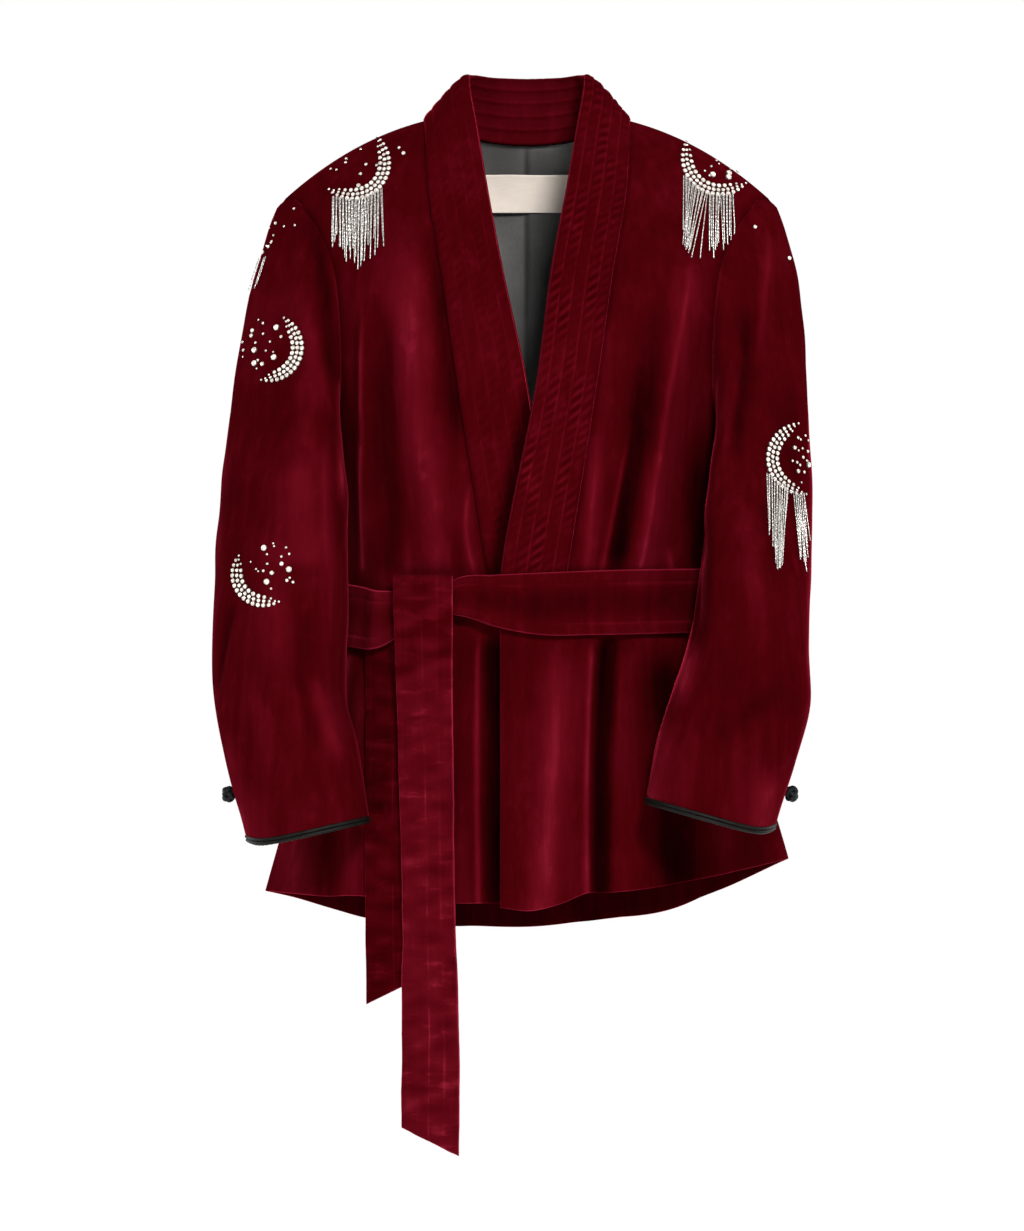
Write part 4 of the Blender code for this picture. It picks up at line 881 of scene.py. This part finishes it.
# Belt and its two hanging ends
beltFront = table(
    "x top bottom",
    (-169, -398, -452), (-150, -401, -456), (-124, -406, -457), (-98, -405, -441), (-70, -401, -427),
    (-56, -394, -428), (-30, -392, -437), (12, -390, -445), (60, -388, -445), (169, -386, -442))
belt = {"wall": 3.0, "ease": 2.4, "bandEase": 2.6, "knotEase": 5.0, "knotFrom": -128, "knotTo": -58,
        "knotFade": 14, "columns": 440, "rows": 41, "stitch": (0.19, 0.81), "groove": 0.7,
        "grooveWidth": 0.022, "threadWidth": 0.018, "threadShift": 0.02, "threadTone": 0.25, "swell": 0.5,
        "hollow": 0.9, "tone": 0.05, "hollowTone": -0.30, "endTone": 0.3, "endFrom": -105, "endFade": 20,
        "seeds": (31, 33), "middle": (0, 0, -420)}
tailColumns = "ease z left right slant"
tailFront = table(
    tailColumns,
    (4.2, -421, -116, -70, 0), (4.2, -404, -117, -69, 0), (10, -393, -119, -67, 0),
    (16.2, -404, -120, -67, 0), (16, -440, -119, -67, 0), (11, -500, -117, -67, 0),
    (8.5, -570, -115, -66, 0), (8.5, -684, -112, -65, 0), (8.5, -800, -112, -61, -12),
    (8.5, -900.5, -113, -61, -25))
tailBack = table(
    tailColumns,
    (2.5, -424, -143, -95, 0), (2.5, -462, -145, -95, 0), (3.2, -560, -145, -94, 0),
    (3.4, -684, -145, -93, 2), (3.4, -764, -144, -92, 26))
tails = {"belt_tail_front": dict(sizes=tailFront, rows=281, wall=belt["wall"], bend=0.9, seed=41,
                                 tone=0.05, lowTone=0.32),
         "belt_tail_back": dict(sizes=tailBack, rows=141, wall=2.4, bend=0.3, seed=43, tone=-0.1, lowTone=0)}
tailCut = {"columns": 45, "stitch": (0.12, 0.46, 0.72, 0.9), "groove": 0.35, "grooveWidth": 0.02,
           "thread": (0.48, 0.74), "threadTone": 0.35, "threadWidth": 0.014, "swell": 0.35, "swellSize": 52,
           "crush": 0.35, "crushSize": 12, "markTone": 0.18, "markSize": 14, "lowFrom": -440, "lowFade": 70,
           "bendFrom": -470, "bendFade": 160}


def beltFace():  # torso ring moved out by the ease, between a top and a bottom height
    angle = np.linspace(0, 2 * np.pi, belt["columns"], endpoint=False)
    s, front = np.sin(angle), np.cos(angle) > 0
    x = torso["halfWidth"][rowWaist] * s
    ends = [(1 - s) / 2 * beltFront[k][0] + (1 + s) / 2 * beltFront[k][-1] for k in ("top", "bottom")]
    top, low = (np.where(front, hermite(beltFront["x"], beltFront[k], x), end)
                for k, end in zip(("top", "bottom"), ends))
    v = np.linspace(0, 1, belt["rows"])[:, None]
    z = top + (low - top) * v
    row, sGrid = rowOfLevel(z), s + 0 * z
    points = np.where(front[None, :, None], torsoPoint(sGrid, row, "front", hemFrontLeft),
                      torsoPoint(sGrid, row, "back", hemBack))
    points[..., 2] = z
    normal = unit(np.stack([sGrid, -np.cos(angle) + 0 * z, 0 * z], axis=-1))
    knotted = smooth((x - belt["knotFrom"]) / belt["knotFade"] + 1)
    knotted = knotted * smooth((belt["knotTo"] - x) / belt["knotFade"] + 1)
    ease = belt["ease"] + belt["bandEase"] * smooth(2 * np.cos(angle)) + belt["knotEase"] * knotted * front
    swellSeed, threadSeed = belt["seeds"]
    rise = ease + belt["wall"] - belt["groove"] * grooves(v, belt["stitch"], belt["grooveWidth"])
    rise = rise + belt["swell"] * unevenness(x + 40 * v, 50 * v, 46, swellSeed)
    rise = rise - belt["hollow"] * np.sin(np.pi * v) ** 2
    thread = grooves(v, [spot + belt["threadShift"] for spot in belt["stitch"]], belt["threadWidth"])
    nap = belt["threadTone"] * thread * (0.6 + 0.6 * unevenness(x, 300 * v, 40, threadSeed)) + belt["tone"]
    # Painted shade in the belt's hollow middle.
    nap = nap + belt["hollowTone"] * smooth(3 * (0.5 - np.abs(v - 0.5)) - 0.4)
    # Painted light on the belt's end beyond the knot, where the sleeve shades it.
    nap = nap + belt["endTone"] * smooth((belt["endFrom"] - x) / belt["endFade"]) * front
    return points + rise[..., None] * normal, nap


def tailFace(end):  # belt end in front of the panels along a line of distances and heights
    at = np.linspace(0, len(end["sizes"]["z"]) - 1, end["rows"])[:, None]
    ease, z, left, right, slant = (byRow(end["sizes"], name, at) for name in tailColumns.split())
    w = np.linspace(0, 1, tailCut["columns"])[None, :]
    x = left + (right - left) * w
    z = z + slant * (w - 0.5)
    points = torsoAt(x, z, "front")
    points[..., 1] -= ease / np.sqrt(1 - (x / torso["halfWidth"][rowWaist]) ** 2)
    normal = unit(np.cross(np.gradient(points, axis=0), np.gradient(points, axis=1)))
    seed = end["seed"]
    swell = tailCut["swell"] + end["bend"] * smooth((tailCut["bendFrom"] - z) / tailCut["bendFade"])
    rise = end["wall"] / 2 - tailCut["groove"] * grooves(w, tailCut["stitch"], tailCut["grooveWidth"])
    rise = rise + swell * unevenness(x * 1.6, z, tailCut["swellSize"], seed)
    rise = rise + tailCut["crush"] * end["bend"] * unevenness(x * 0.4, z, tailCut["crushSize"], seed + 2)
    broken = np.clip(0.6 + 0.8 * unevenness(90 * w, z, 60, seed + 3), 0, 1.4)
    nap = tailCut["threadTone"] * grooves(w, tailCut["thread"], tailCut["threadWidth"]) * broken
    nap = nap + tailCut["markTone"] * unevenness(x * 0.4, z, tailCut["markSize"], seed + 1) + end["tone"]
    face = points + rise[..., None] * normal
    nap = nap + end["lowTone"] * smooth((tailCut["lowFrom"] - face[..., 2]) / tailCut["lowFade"])
    return face, nap, points - 50 * normal


face, nap = beltFace()
sewn("belt_round_waist", face, np.array(belt["middle"]), [beltCloth], belt["wall"], "belt_velvet",
     "belt_waist", "stretched", ["jacket_front_left", "jacket_front_right", "jacket_back"], looped=True,
     nap=nap)
for name, end in tails.items():
    face, nap, behind = tailFace(end)
    sewn(name + "_cloth", face, behind, [tailCloth], end["wall"], "belt_velvet", name, "hung",
         ["belt_round_waist"], nap=nap)
print("belt made")


# Lining with a centre pleat, and the bare label, inside the back of the neck
liningCut = {"inset": 3.0, "wall": 1.0, "below": 1.0, "sideShare": 0.83, "pleat": 2.4, "pleatRun": 2.0,
             "columns": 121, "rows": 91, "swell": 0.5, "seed": 51, "tone": 0.15, "pleatHighlight": 0.25,
             "pleatShade": 0.9, "besideShade": 0.25, "bandShade": 0.30, "middle": (0, 400, -80)}
labelCut = {"left": -44, "right": 44, "top": -26, "bottom": -61, "inset": 7.4, "wall": 0.6, "columns": 61,
            "rows": 27, "swell": 0.4, "seed": 53}


def liningFace():  # the back's own points moved in, with a pleat that steps at the centre line
    shares = np.linspace(-liningCut["sideShare"], liningCut["sideShare"], liningCut["columns"])
    rows = rowOfLevel(np.linspace(torso["level"][0], torso["level"][rowUnderarm], liningCut["rows"]))
    points = backGrid(rows, shares)[0]
    normal = gridNormals(points, np.zeros(3))
    points[0] += liningCut["below"] * unit(points[1] - points[0])  # just under the neck seam
    x, z, down = points[..., 0], points[..., 2], runs(points, 0)
    pleat = liningCut["pleat"] * smooth(x / liningCut["pleatRun"] + 0.5) * smooth(1.4 - np.abs(x) / 60)
    soft = liningCut["swell"] * unevenness(x, z, 55, liningCut["seed"]) * smooth(down / 30)
    # Painted highlight left of the pleat, painted shade in it and to its right, and painted shadow of the
    # band.
    nap = liningCut["tone"] + liningCut["pleatHighlight"] * bell(x + 3, 4)
    nap = nap - liningCut["pleatShade"] * bell(x - 0.8, 1.3) - liningCut["besideShade"] * smooth(x / 6)
    nap = nap - liningCut["bandShade"] * smooth(x / 26) * smooth((-50 - z) / 90)  # painted shadow where the lining lies behind the band
    return points - (liningCut["inset"] + pleat * smooth(down / 12) + soft)[..., None] * normal, nap


def labelFace():  # level strip on the back's plain surface, moved in and slightly bowed
    x = np.linspace(labelCut["left"], labelCut["right"], labelCut["columns"])[None, :]
    z = np.linspace(labelCut["top"], labelCut["bottom"], labelCut["rows"])[:, None]
    points = torsoAt(x + 0 * z, z + 0 * x, "back")
    inset = labelCut["inset"] + labelCut["wall"] + labelCut["swell"] * unevenness(x, z, 40, labelCut["seed"])
    return points - inset[..., None] * gridNormals(points, np.zeros(3))


inFront = np.array(liningCut["middle"])
face, nap = liningFace()
sewn("lining_of_back", face, inFront, [liningCloth], liningCut["wall"], "lining", "lining_back", "hung",
     ["jacket_back"], nap=nap)
sewn("neck_label", labelFace(), inFront, [labelCloth], labelCut["wall"], "label", "label", "laid",
     ["lining_of_back"])
print("lining and label made")


# Cords and knot buttons on the cuffs
cord = {"radius": 1.65, "gap": 0.3, "points": 300, "sides": 10, "twist": 0.10, "pitch": 9.0}
knot = {"radius": 5.0, "bob": 0.75, "reach": 0.95, "strand": 2.0, "points": 280, "sides": 8, "ply": 0.06,
        "pitch": 4.0, "core": 4.4, "coreRings": 13, "coreSides": 16, "pole": 0.02, "shank": 1.1,
        "shankPoints": 24, "shift": {"left": (-4.4, -2.5), "right": (2.0, 6.0)}}


def tube(path, radius, sides, closed, aside, ply=0.0, pitch=1.0):
    # Circle carried along a path, pinched by two plies that turn once in each pitch.
    before, after = np.roll(path, 1, axis=0), np.roll(path, -1, axis=0)
    if not closed:
        before[0], after[-1] = path[0], path[-1]
    along = unit(after - before)
    first = unit(np.cross(along, aside))[:, None]
    second = np.cross(along, first[:, 0])[:, None]
    length = runs(path[None], 1)[0]
    phi = np.linspace(0, 2 * np.pi, sides, endpoint=False)[None, :]
    size = np.reshape(radius, (-1, 1)) * (1 - ply * np.cos(2 * (phi - 2 * np.pi * length[:, None] / pitch)))
    circle = first * np.cos(phi)[..., None] + second * np.sin(phi)[..., None]
    ring = path[:, None] + size[..., None] * circle
    index = loopClosed(np.arange(ring.shape[0] * sides).reshape(ring.shape[:2]))
    faces = gridFaces(np.concatenate([index, index[:1]]) if closed else index)[:, ::-1].tolist()
    if not closed:
        faces += [index[0, :-1].tolist(), index[-1, :-1][::-1].tolist()]
    return ring.reshape(-1, 3), faces


def joined(parts):  # several vertex and face lists as one
    vertices, faces, count = [], [], 0
    for points, polygons in parts:
        vertices.append(points)
        faces += [[k + count for k in polygon] for polygon in polygons]
        count += len(points)
    return np.concatenate(vertices), faces


def cuffLine(arm, count):  # middle of the sleeve wall at the cuff edge, and the way down from it
    angle = np.linspace(0, 2 * np.pi, count, endpoint=False)
    last = float(len(arm["sizes"]["z"]))
    edge = sleevePoint(arm, angle, np.full(count, last))
    fall = unit(edge - sleevePoint(arm, angle, np.full(count, last - 0.1)))
    return edge + cloth["wall"] / 2 * unit(edge.mean(0) - edge), fall


def ballPoints(lat, lon):  # unit ball by latitude and by turn about its x axis
    return np.stack([np.sin(lat), np.cos(lat) * np.cos(lon), np.cos(lat) * np.sin(lon)], axis=-1)


def knotBall(sign):  # woven ball: a cord that winds three times round while it rises and falls four times
    t = np.linspace(0, 2 * np.pi, knot["points"], endpoint=False)
    bob = knot["radius"] + knot["bob"] * np.sin(8 * t + 0.6)
    path = bob[:, None] * ballPoints(knot["reach"] * np.sin(4 * t), 3 * t)
    u = np.linspace(knot["pole"], np.pi - knot["pole"], knot["coreRings"])[:, None]
    v = np.linspace(0, 2 * np.pi, knot["coreSides"], endpoint=False)[None, :]
    core = knot["core"] * ballPoints(np.pi / 2 - u + 0 * v, v + 0 * u)
    index = np.arange(core[..., 0].size).reshape(core.shape[:2])
    coreFaces = gridFaces(loopClosed(index)).tolist() + [index[0][::-1].tolist(), index[-1].tolist()]
    a = np.linspace(-0.2, np.pi + 0.2, knot["shankPoints"])  # thread loop to the cuff
    shank = np.stack([-sign * (3 + 5.5 * np.sin(a)), 0 * a - 1, 2.6 * np.cos(a) + 1.2], axis=-1)
    return joined([tube(path, knot["strand"], knot["sides"], True, path, knot["ply"], knot["pitch"]),
                   (core.reshape(-1, 3), coreFaces),
                   tube(shank, knot["shank"], knot["sides"], False, np.array([0.0, 1.0, 0.0]))])


for side, arm in arms.items():
    edge, fall = cuffLine(arm, cord["points"])
    rounds = []
    for k in range(2):
        shift = cord["gap"] + cord["radius"] * (1 + 2 * k)
        rounds.append(tube(edge + fall * shift, cord["radius"], cord["sides"], True, fall,
                           cord["twist"] * (-1) ** k, cord["pitch"]))
    place(makeObject("cuff_cords_" + side, *joined(rounds), [cordYarn]), "cord", "cuff_cord_" + side)
    low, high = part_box("cuff_knot_" + side)
    middle = (np.array(low) + np.array(high)) / 2 / mm
    middle[[0, 2]] += knot["shift"][side]
    vertices, faces = knotBall(arm["sign"])
    button = makeObject("cuff_knot_button_" + side, vertices + middle, faces, [knotYarn])
    place(button, "knot", "cuff_knot_" + side)
print("cuff cords and knots made")


# Crescents of cut stones, loose stones and bead fringes.
# Round a sleeve, widths are degrees from its outer line.
stones = {"sides": 8, "profile": ((1.08, -0.15), (1.08, 0.20), (0.98, 0.40), (0.62, 0.92)), "outer": 2.2,
          "middle": 2.0, "loose": (0.9, 1.1, 1.1, 1.3, 1.5, 2.0, 2.8), "seat": 0.3, "step": 4.0,
          "pitch": 2.02, "shorter": 0.08, "meet": 0.8, "taper": 0.5, "turn": 2.4, "fill": 0.8,
          "drift": -0.45, "seed": 60}
clothLimits = {"front": -0.08, "steep": -0.3, "gap": 4, "near": 4, "soften": 0.05}
strand = {"radius": 0.54, "neck": 0.32, "step": 0.8, "sides": 5, "lift": 1.5, "layer": 1.2, "sway": 1.3,
          "lean": 0.022, "uneven": (-6, 12), "seed": 80}
outerRight = ("sleeve_right_upper", "sleeve_right_under")
shoulderRight = ("front_right", "sleeve_right_upper")
shoulderLeft = ("front_left", "sleeve_left_upper")
armRight = ("sleeve_right_upper",)
armLeft = ("sleeve_left_upper",)
moons = {
    "shoulder_right": dict(panels=shoulderRight, x=-156, z=-21, radius=32, toward=-42, reach=1.6, loose=13,
                           drift=(1, -8), lone=((-115, -7, 1.5), (-111, -12, 1.9))),
    "shoulder_left": dict(panels=shoulderLeft, x=173, z=-16, radius=33, toward=234, reach=1.45, loose=13,
                          drift=(5, -9), spread=(0.8, 0.38), lone=((205, -78, 1.8), (236, -106, 2.0))),
    "upper_arm_right": dict(panels=armRight, x=-232, z=-187, radius=30, toward=-20, reach=1.45, loose=24),
    "forearm_right": dict(panels=armRight, x=-236, z=-391, radius=28, toward=221, reach=1.35, loose=20),
    "arm_left": dict(panels=armLeft, x=248, z=-287, radius=32, toward=186, reach=1.55, loose=17,
                     drift=(-2, 2), spread=(0.34, 0.9)),
    "outer_arm_right": dict(panels=outerRight, around=True, x=-22, z=-86, radius=27, toward=262, reach=1.5,
                            loose=18, drift=(18, 8), sizes=(1.0, 1.2, 1.5))}
fringes = {
    "fringe_sleeve_right": dict(panels=outerRight, around=True, left=-36, right=6, tops=(-108, -115, -104),
                                ends=(-134, -146, -138), count=20),
    "fringe_shoulder_right": dict(panels=shoulderRight, left=-175, right=-129, tops=(-51, -54, -44),
                                  ends=(-93, -115, -92), count=32),
    "fringe_shoulder_left": dict(panels=shoulderLeft, left=140, right=185, tops=(-32, -48, -49),
                                 ends=(-93, -104, -90), count=30, lean=((0, 0.46, 0.5, 1), (0, -0.28, 0, 0))),
    "fringe_sleeve_left_a": dict(panels=armLeft, left=214, right=234, tops=(-300, -308, -312),
                                 ends=(-344, -391, -384), count=17, lean=((0, 1), (0.03, -0.08))),
    "fringe_sleeve_left_b": dict(panels=armLeft, left=238, right=248, tops=(-316, -320, -318),
                                 ends=(-384, -388, -362), count=11, lean=((0, 1), (0.10, 0.09)))}


def gemShapes(centres, normals, radii):  # faceted domes: a girdle wall in the dark setting colour, which paints shade round the stone, a crown and a flat table
    sides = stones["sides"]
    phi = np.linspace(0, 2 * np.pi, sides, endpoint=False)[None, :, None]
    out, up = np.array(stones["profile"]).T[:, None, :, None, None]
    first = unit(np.cross(normals, np.array([0.13, 0.2, 0.97])))
    second = np.cross(normals, first)
    flat = first[:, None] * np.cos(phi) + second[:, None] * np.sin(phi)
    rings = out * flat[:, None] + up * normals[:, None, None]
    points = centres[:, None, None] + radii[:, None, None, None] * rings
    index = np.arange(4 * sides).reshape(4, sides)
    starts = np.arange(len(centres)) * 4 * sides
    quads = (starts[:, None, None] + gridFaces(loopClosed(index))).reshape(-1, 4)
    tops, bottoms = starts[:, None] + index[3], starts[:, None] + index[0][::-1]
    slot = np.concatenate([np.tile(np.repeat([1, 1, 0], sides), len(centres)), 0 * starts, 0 * starts + 1])
    return points.reshape(-1, 3), quads.tolist() + tops.tolist() + bottoms.tolist(), slot


def onCloth(names, x, z, around=False):
    # Nearest point of the panels by width and height, slid along its tangent plane, and its normal.
    # Round a sleeve the four nearest points are blended.
    points, normals, across = [], [], []
    for name in names:
        face = bodyFaces[name][0]
        points.append(face.reshape(-1, 3))
        normals.append(gridNormals(face, sleeveAxes.get(name, np.zeros(3))).reshape(-1, 3))
        width = np.mod(sleeveDegrees[name] + 180, 360) - 180 if around else face[..., 0]
        across.append(np.broadcast_to(width, face.shape[:2]).ravel())
    points, normals, across = np.concatenate(points), np.concatenate(normals), np.concatenate(across)
    seen = (normals[:, 1] < clothLimits["front"]) | around
    points, normals, across = points[seen], normals[seen], across[seen]
    gap = (across[None] - x[:, None]) ** 2 + (points[:, 2][None] - z[:, None]) ** 2
    if around:
        near = np.argpartition(gap, clothLimits["near"], axis=1)[:, :clothLimits["near"]]
        share = 1 / (np.take_along_axis(gap, near, 1) + clothLimits["soften"])
        share = (share / share.sum(1, keepdims=True))[..., None]
        return (share * points[near]).sum(1), unit((share * normals[near]).sum(1)), np.full(len(x), True)
    nearest = np.argmin(gap, axis=1)
    spot, normal = points[nearest], normals[nearest]
    move = np.stack([x - spot[:, 0], 0 * x, z - spot[:, 2]], axis=-1)
    move[:, 1] = -(move[:, 0] * normal[:, 0] + move[:, 2] * normal[:, 2]) / normal[:, 1]
    isNear = gap[np.arange(len(x)), nearest] < clothLimits["gap"]
    return spot + move, normal, isNear & (normal[:, 1] < clothLimits["steep"])


def moonStones(moon, seed):  # three rows on arcs that meet at the tips, then loose stones
    rng = np.random.default_rng(seed)
    radius, toward = moon["radius"], np.radians(moon["toward"])
    x, z, size = [], [], []
    for shift, grow in enumerate((stones["outer"], stones["middle"], stones["outer"])):
        reach = moon["reach"] * (1 - stones["shorter"] * shift)
        count = int(2 * reach * (radius - shift * stones["step"]) / (stones["pitch"] * grow))
        a = np.linspace(-reach, reach, count)
        line = radius - shift * stones["step"] * (1 - stones["meet"] * np.abs(a / moon["reach"]) ** 5)
        x.append(moon["x"] + line * np.cos(toward + a))
        z.append(moon["z"] + line * np.sin(toward + a))
        size.append(grow * (1 - stones["taper"] * np.abs(a / reach) ** 4))
    count = moon["loose"]
    number = np.arange(count)
    a = stones["turn"] * number + rng.normal(0, 0.25, count)
    r = stones["fill"] * radius * np.sqrt((number + 0.5) / count) + rng.normal(0, 0.06, count) * radius
    away = stones["drift"] * radius  # loose stones lie in the hollow of the crescent
    drift = moon.get("drift", (away * np.cos(toward), away * np.sin(toward)))
    spread = moon.get("spread", (1, 1))
    x.append(moon["x"] + spread[0] * r * np.cos(a) + drift[0])
    z.append(moon["z"] + spread[1] * r * np.sin(a) + drift[1])
    size.append(rng.choice(moon.get("sizes", stones["loose"]), count))
    for parts, values in zip((x, z, size), np.reshape(moon.get("lone", ()), (-1, 3)).T):
        parts.append(values)
    return np.concatenate(x), np.concatenate(z), np.concatenate(size)


def fringeStrands(fringe, seed):  # strands of bugle beads: tubes pinched between beads
    rng = np.random.default_rng(seed)
    count = fringe["count"]
    share = (np.arange(count) + 0.5) / count
    start = fringe["left"] + (fringe["right"] - fringe["left"]) * share
    top = np.interp(share, (0, 0.5, 1), fringe["tops"])
    low = np.interp(share, (0, 0.55, 1), fringe["ends"]) + rng.uniform(*strand["uneven"], count)
    lean = rng.normal(0, strand["lean"], count)
    sway = rng.normal(0, strand["sway"], count)
    phase = rng.uniform(0, 6, count)
    lean = lean + np.interp(share, *fringe.get("lean", ((0, 1), (0, 0))))  # some are swept aside
    parts = []
    for k in range(count):
        z = np.linspace(top[k], low[k], max(int((top[k] - low[k]) / strand["step"]), 6))
        fall = (top[k] - z) / (top[k] - low[k])
        x = start[k] + lean[k] * (top[k] - z) + 0.5 * sway[k] * np.sin(2.2 * fall + phase[k]) * fall
        spot, normal, _ = onCloth(fringe["panels"], x, z, "around" in fringe)
        path = spot + (strand["lift"] + strand["layer"] * (k % 2)) * normal
        path = np.vander(fall, 4) @ np.polyfit(fall, path, 3)  # one smooth bend down the cloth
        size = np.where(np.arange(len(z)) % 4 == 0, strand["neck"], strand["radius"])
        parts.append(tube(path, size, strand["sides"], False, np.array([0.0, 1.0, 0.0])))
    return joined(parts)


for number, (name, moon) in enumerate(moons.items()):
    x, z, size = moonStones(moon, stones["seed"] + number)
    spot, normal, near = onCloth(moon["panels"], x, z, "around" in moon)
    points, faces, slot = gemShapes((spot + stones["seat"] * normal)[near], normal[near], size[near])
    place(makeObject("stones_" + name, points, faces, [stoneGlass, settingsAndShade], slot), "beads")
for number, (name, fringe) in enumerate(fringes.items()):
    vertices, faces = fringeStrands(fringe, strand["seed"] + number)
    place(makeObject("beads_" + name, vertices, faces, [strandGlass]), "beads", name)
print("stones and fringes made")


# Camera, floor and light, in metres
view = {"centre": (-0.0135, -0.428), "distance": 24.0, "height": 1.1079, "plane": 0.05, "sensor": 36.0,
        "far": 60}
ground = {"radius": 2.4, "level": -1.02, "sides": 96, "roughness": 0.9,
          "paint": (colour(0.90, 0.90, 0.90), colour(0.94, 0.94, 0.94)),
          "glow": (colour(0.1, 0.1, 0.1), colour(0.9, 0.9, 0.9)), "glowFrom": 0.1, "glowTo": 2.5}
lamps = {"key": dict(spot=(0.9, -3.8, 1.9), target=(0, 0, -0.4), size=1.0, power=230),
         "fill": dict(spot=(-2.6, -3.6, 0.4), target=(0, 0, -0.4), size=2.4, power=34),
         "top": dict(spot=(0.3, 0.2, 2.6), target=(0, 0, -0.3), size=1.8, power=30),
         "rim_left": dict(spot=(-2.6, 1.2, 0.3), target=(-0.2, 0, -0.4), size=1.4, power=55),
         "rim_right": dict(spot=(2.6, 1.2, 0.3), target=(0.2, 0, -0.4), size=1.4, power=55)}
skyGlow = {"seen": 0.8, "light": 0.2}
cameraData = bpy.data.cameras.new("camera")
cameraData.sensor_width = view["sensor"]
cameraData.lens = view["sensor"] * (view["distance"] - view["plane"]) / view["height"]
cameraData.clip_end = view["far"]
camera = linked(bpy.data.objects.new("camera", cameraData))
camera.location = (view["centre"][0], -view["distance"], view["centre"][1])
camera.rotation_euler = (np.pi / 2, 0, 0)
bpy.context.scene.camera = camera

around = np.linspace(0, 2 * np.pi, ground["sides"], endpoint=False)
groundEdge = np.stack([ground["radius"] * np.cos(around), ground["radius"] * np.sin(around),
                       0 * around + ground["level"]], axis=-1)
floorMesh = bpy.data.meshes.new("floor")
floorMesh.from_pydata(groundEdge.tolist(), [], [list(range(len(groundEdge)))])
floor = linked(bpy.data.objects.new("floor", floorMesh))
floorPaint, floorShader, floorPlace = startMaterial("floor_paint")
acrossFloor, alongFloor = (floorPlace.node("ShaderNodeSeparateXYZ", out=k, Vector=floorPlace) for k in (0, 1))
fromMiddle = (acrossFloor * acrossFloor + alongFloor * alongFloor).ramp(ground["glowFrom"], ground["glowTo"])
feed(floorShader, Base_Color=floorPlace.noise(3, 2, 0.5).mix(*ground["paint"]), Roughness=ground["roughness"],
     Emission_Color=fromMiddle.mix(*ground["glow"]), Emission_Strength=1.0)  # white at its rim
floorMesh.materials.append(floorPaint)


def softbox(name, spot, target, size, power):  # round soft light turned towards its target
    data = bpy.data.lights.new(name, "AREA")
    data.shape = "DISK"
    data.size = size
    data.energy = power
    light = linked(bpy.data.objects.new(name, data))
    light.location = spot
    light.rotation_euler = (Vector(target) - Vector(spot)).to_track_quat("-Z", "Y").to_euler()


for name, lamp in lamps.items():
    softbox(name, **lamp)
world = bpy.data.worlds.new("studio")
bpy.context.scene.world = world
world.use_nodes = True
sky = world.node_tree.nodes["Background"]
lightPath = world.node_tree.nodes.new("ShaderNodeLightPath")
glow = Wire(world.node_tree, lightPath.outputs["Is Camera Ray"]) * skyGlow["seen"] + skyGlow["light"]
join(glow, sky.inputs["Strength"])  # white behind, dim as a light
join(colour(1, 1, 1), sky.inputs["Color"])
bpy.context.scene.view_settings.view_transform = "Standard"

print("scene done")
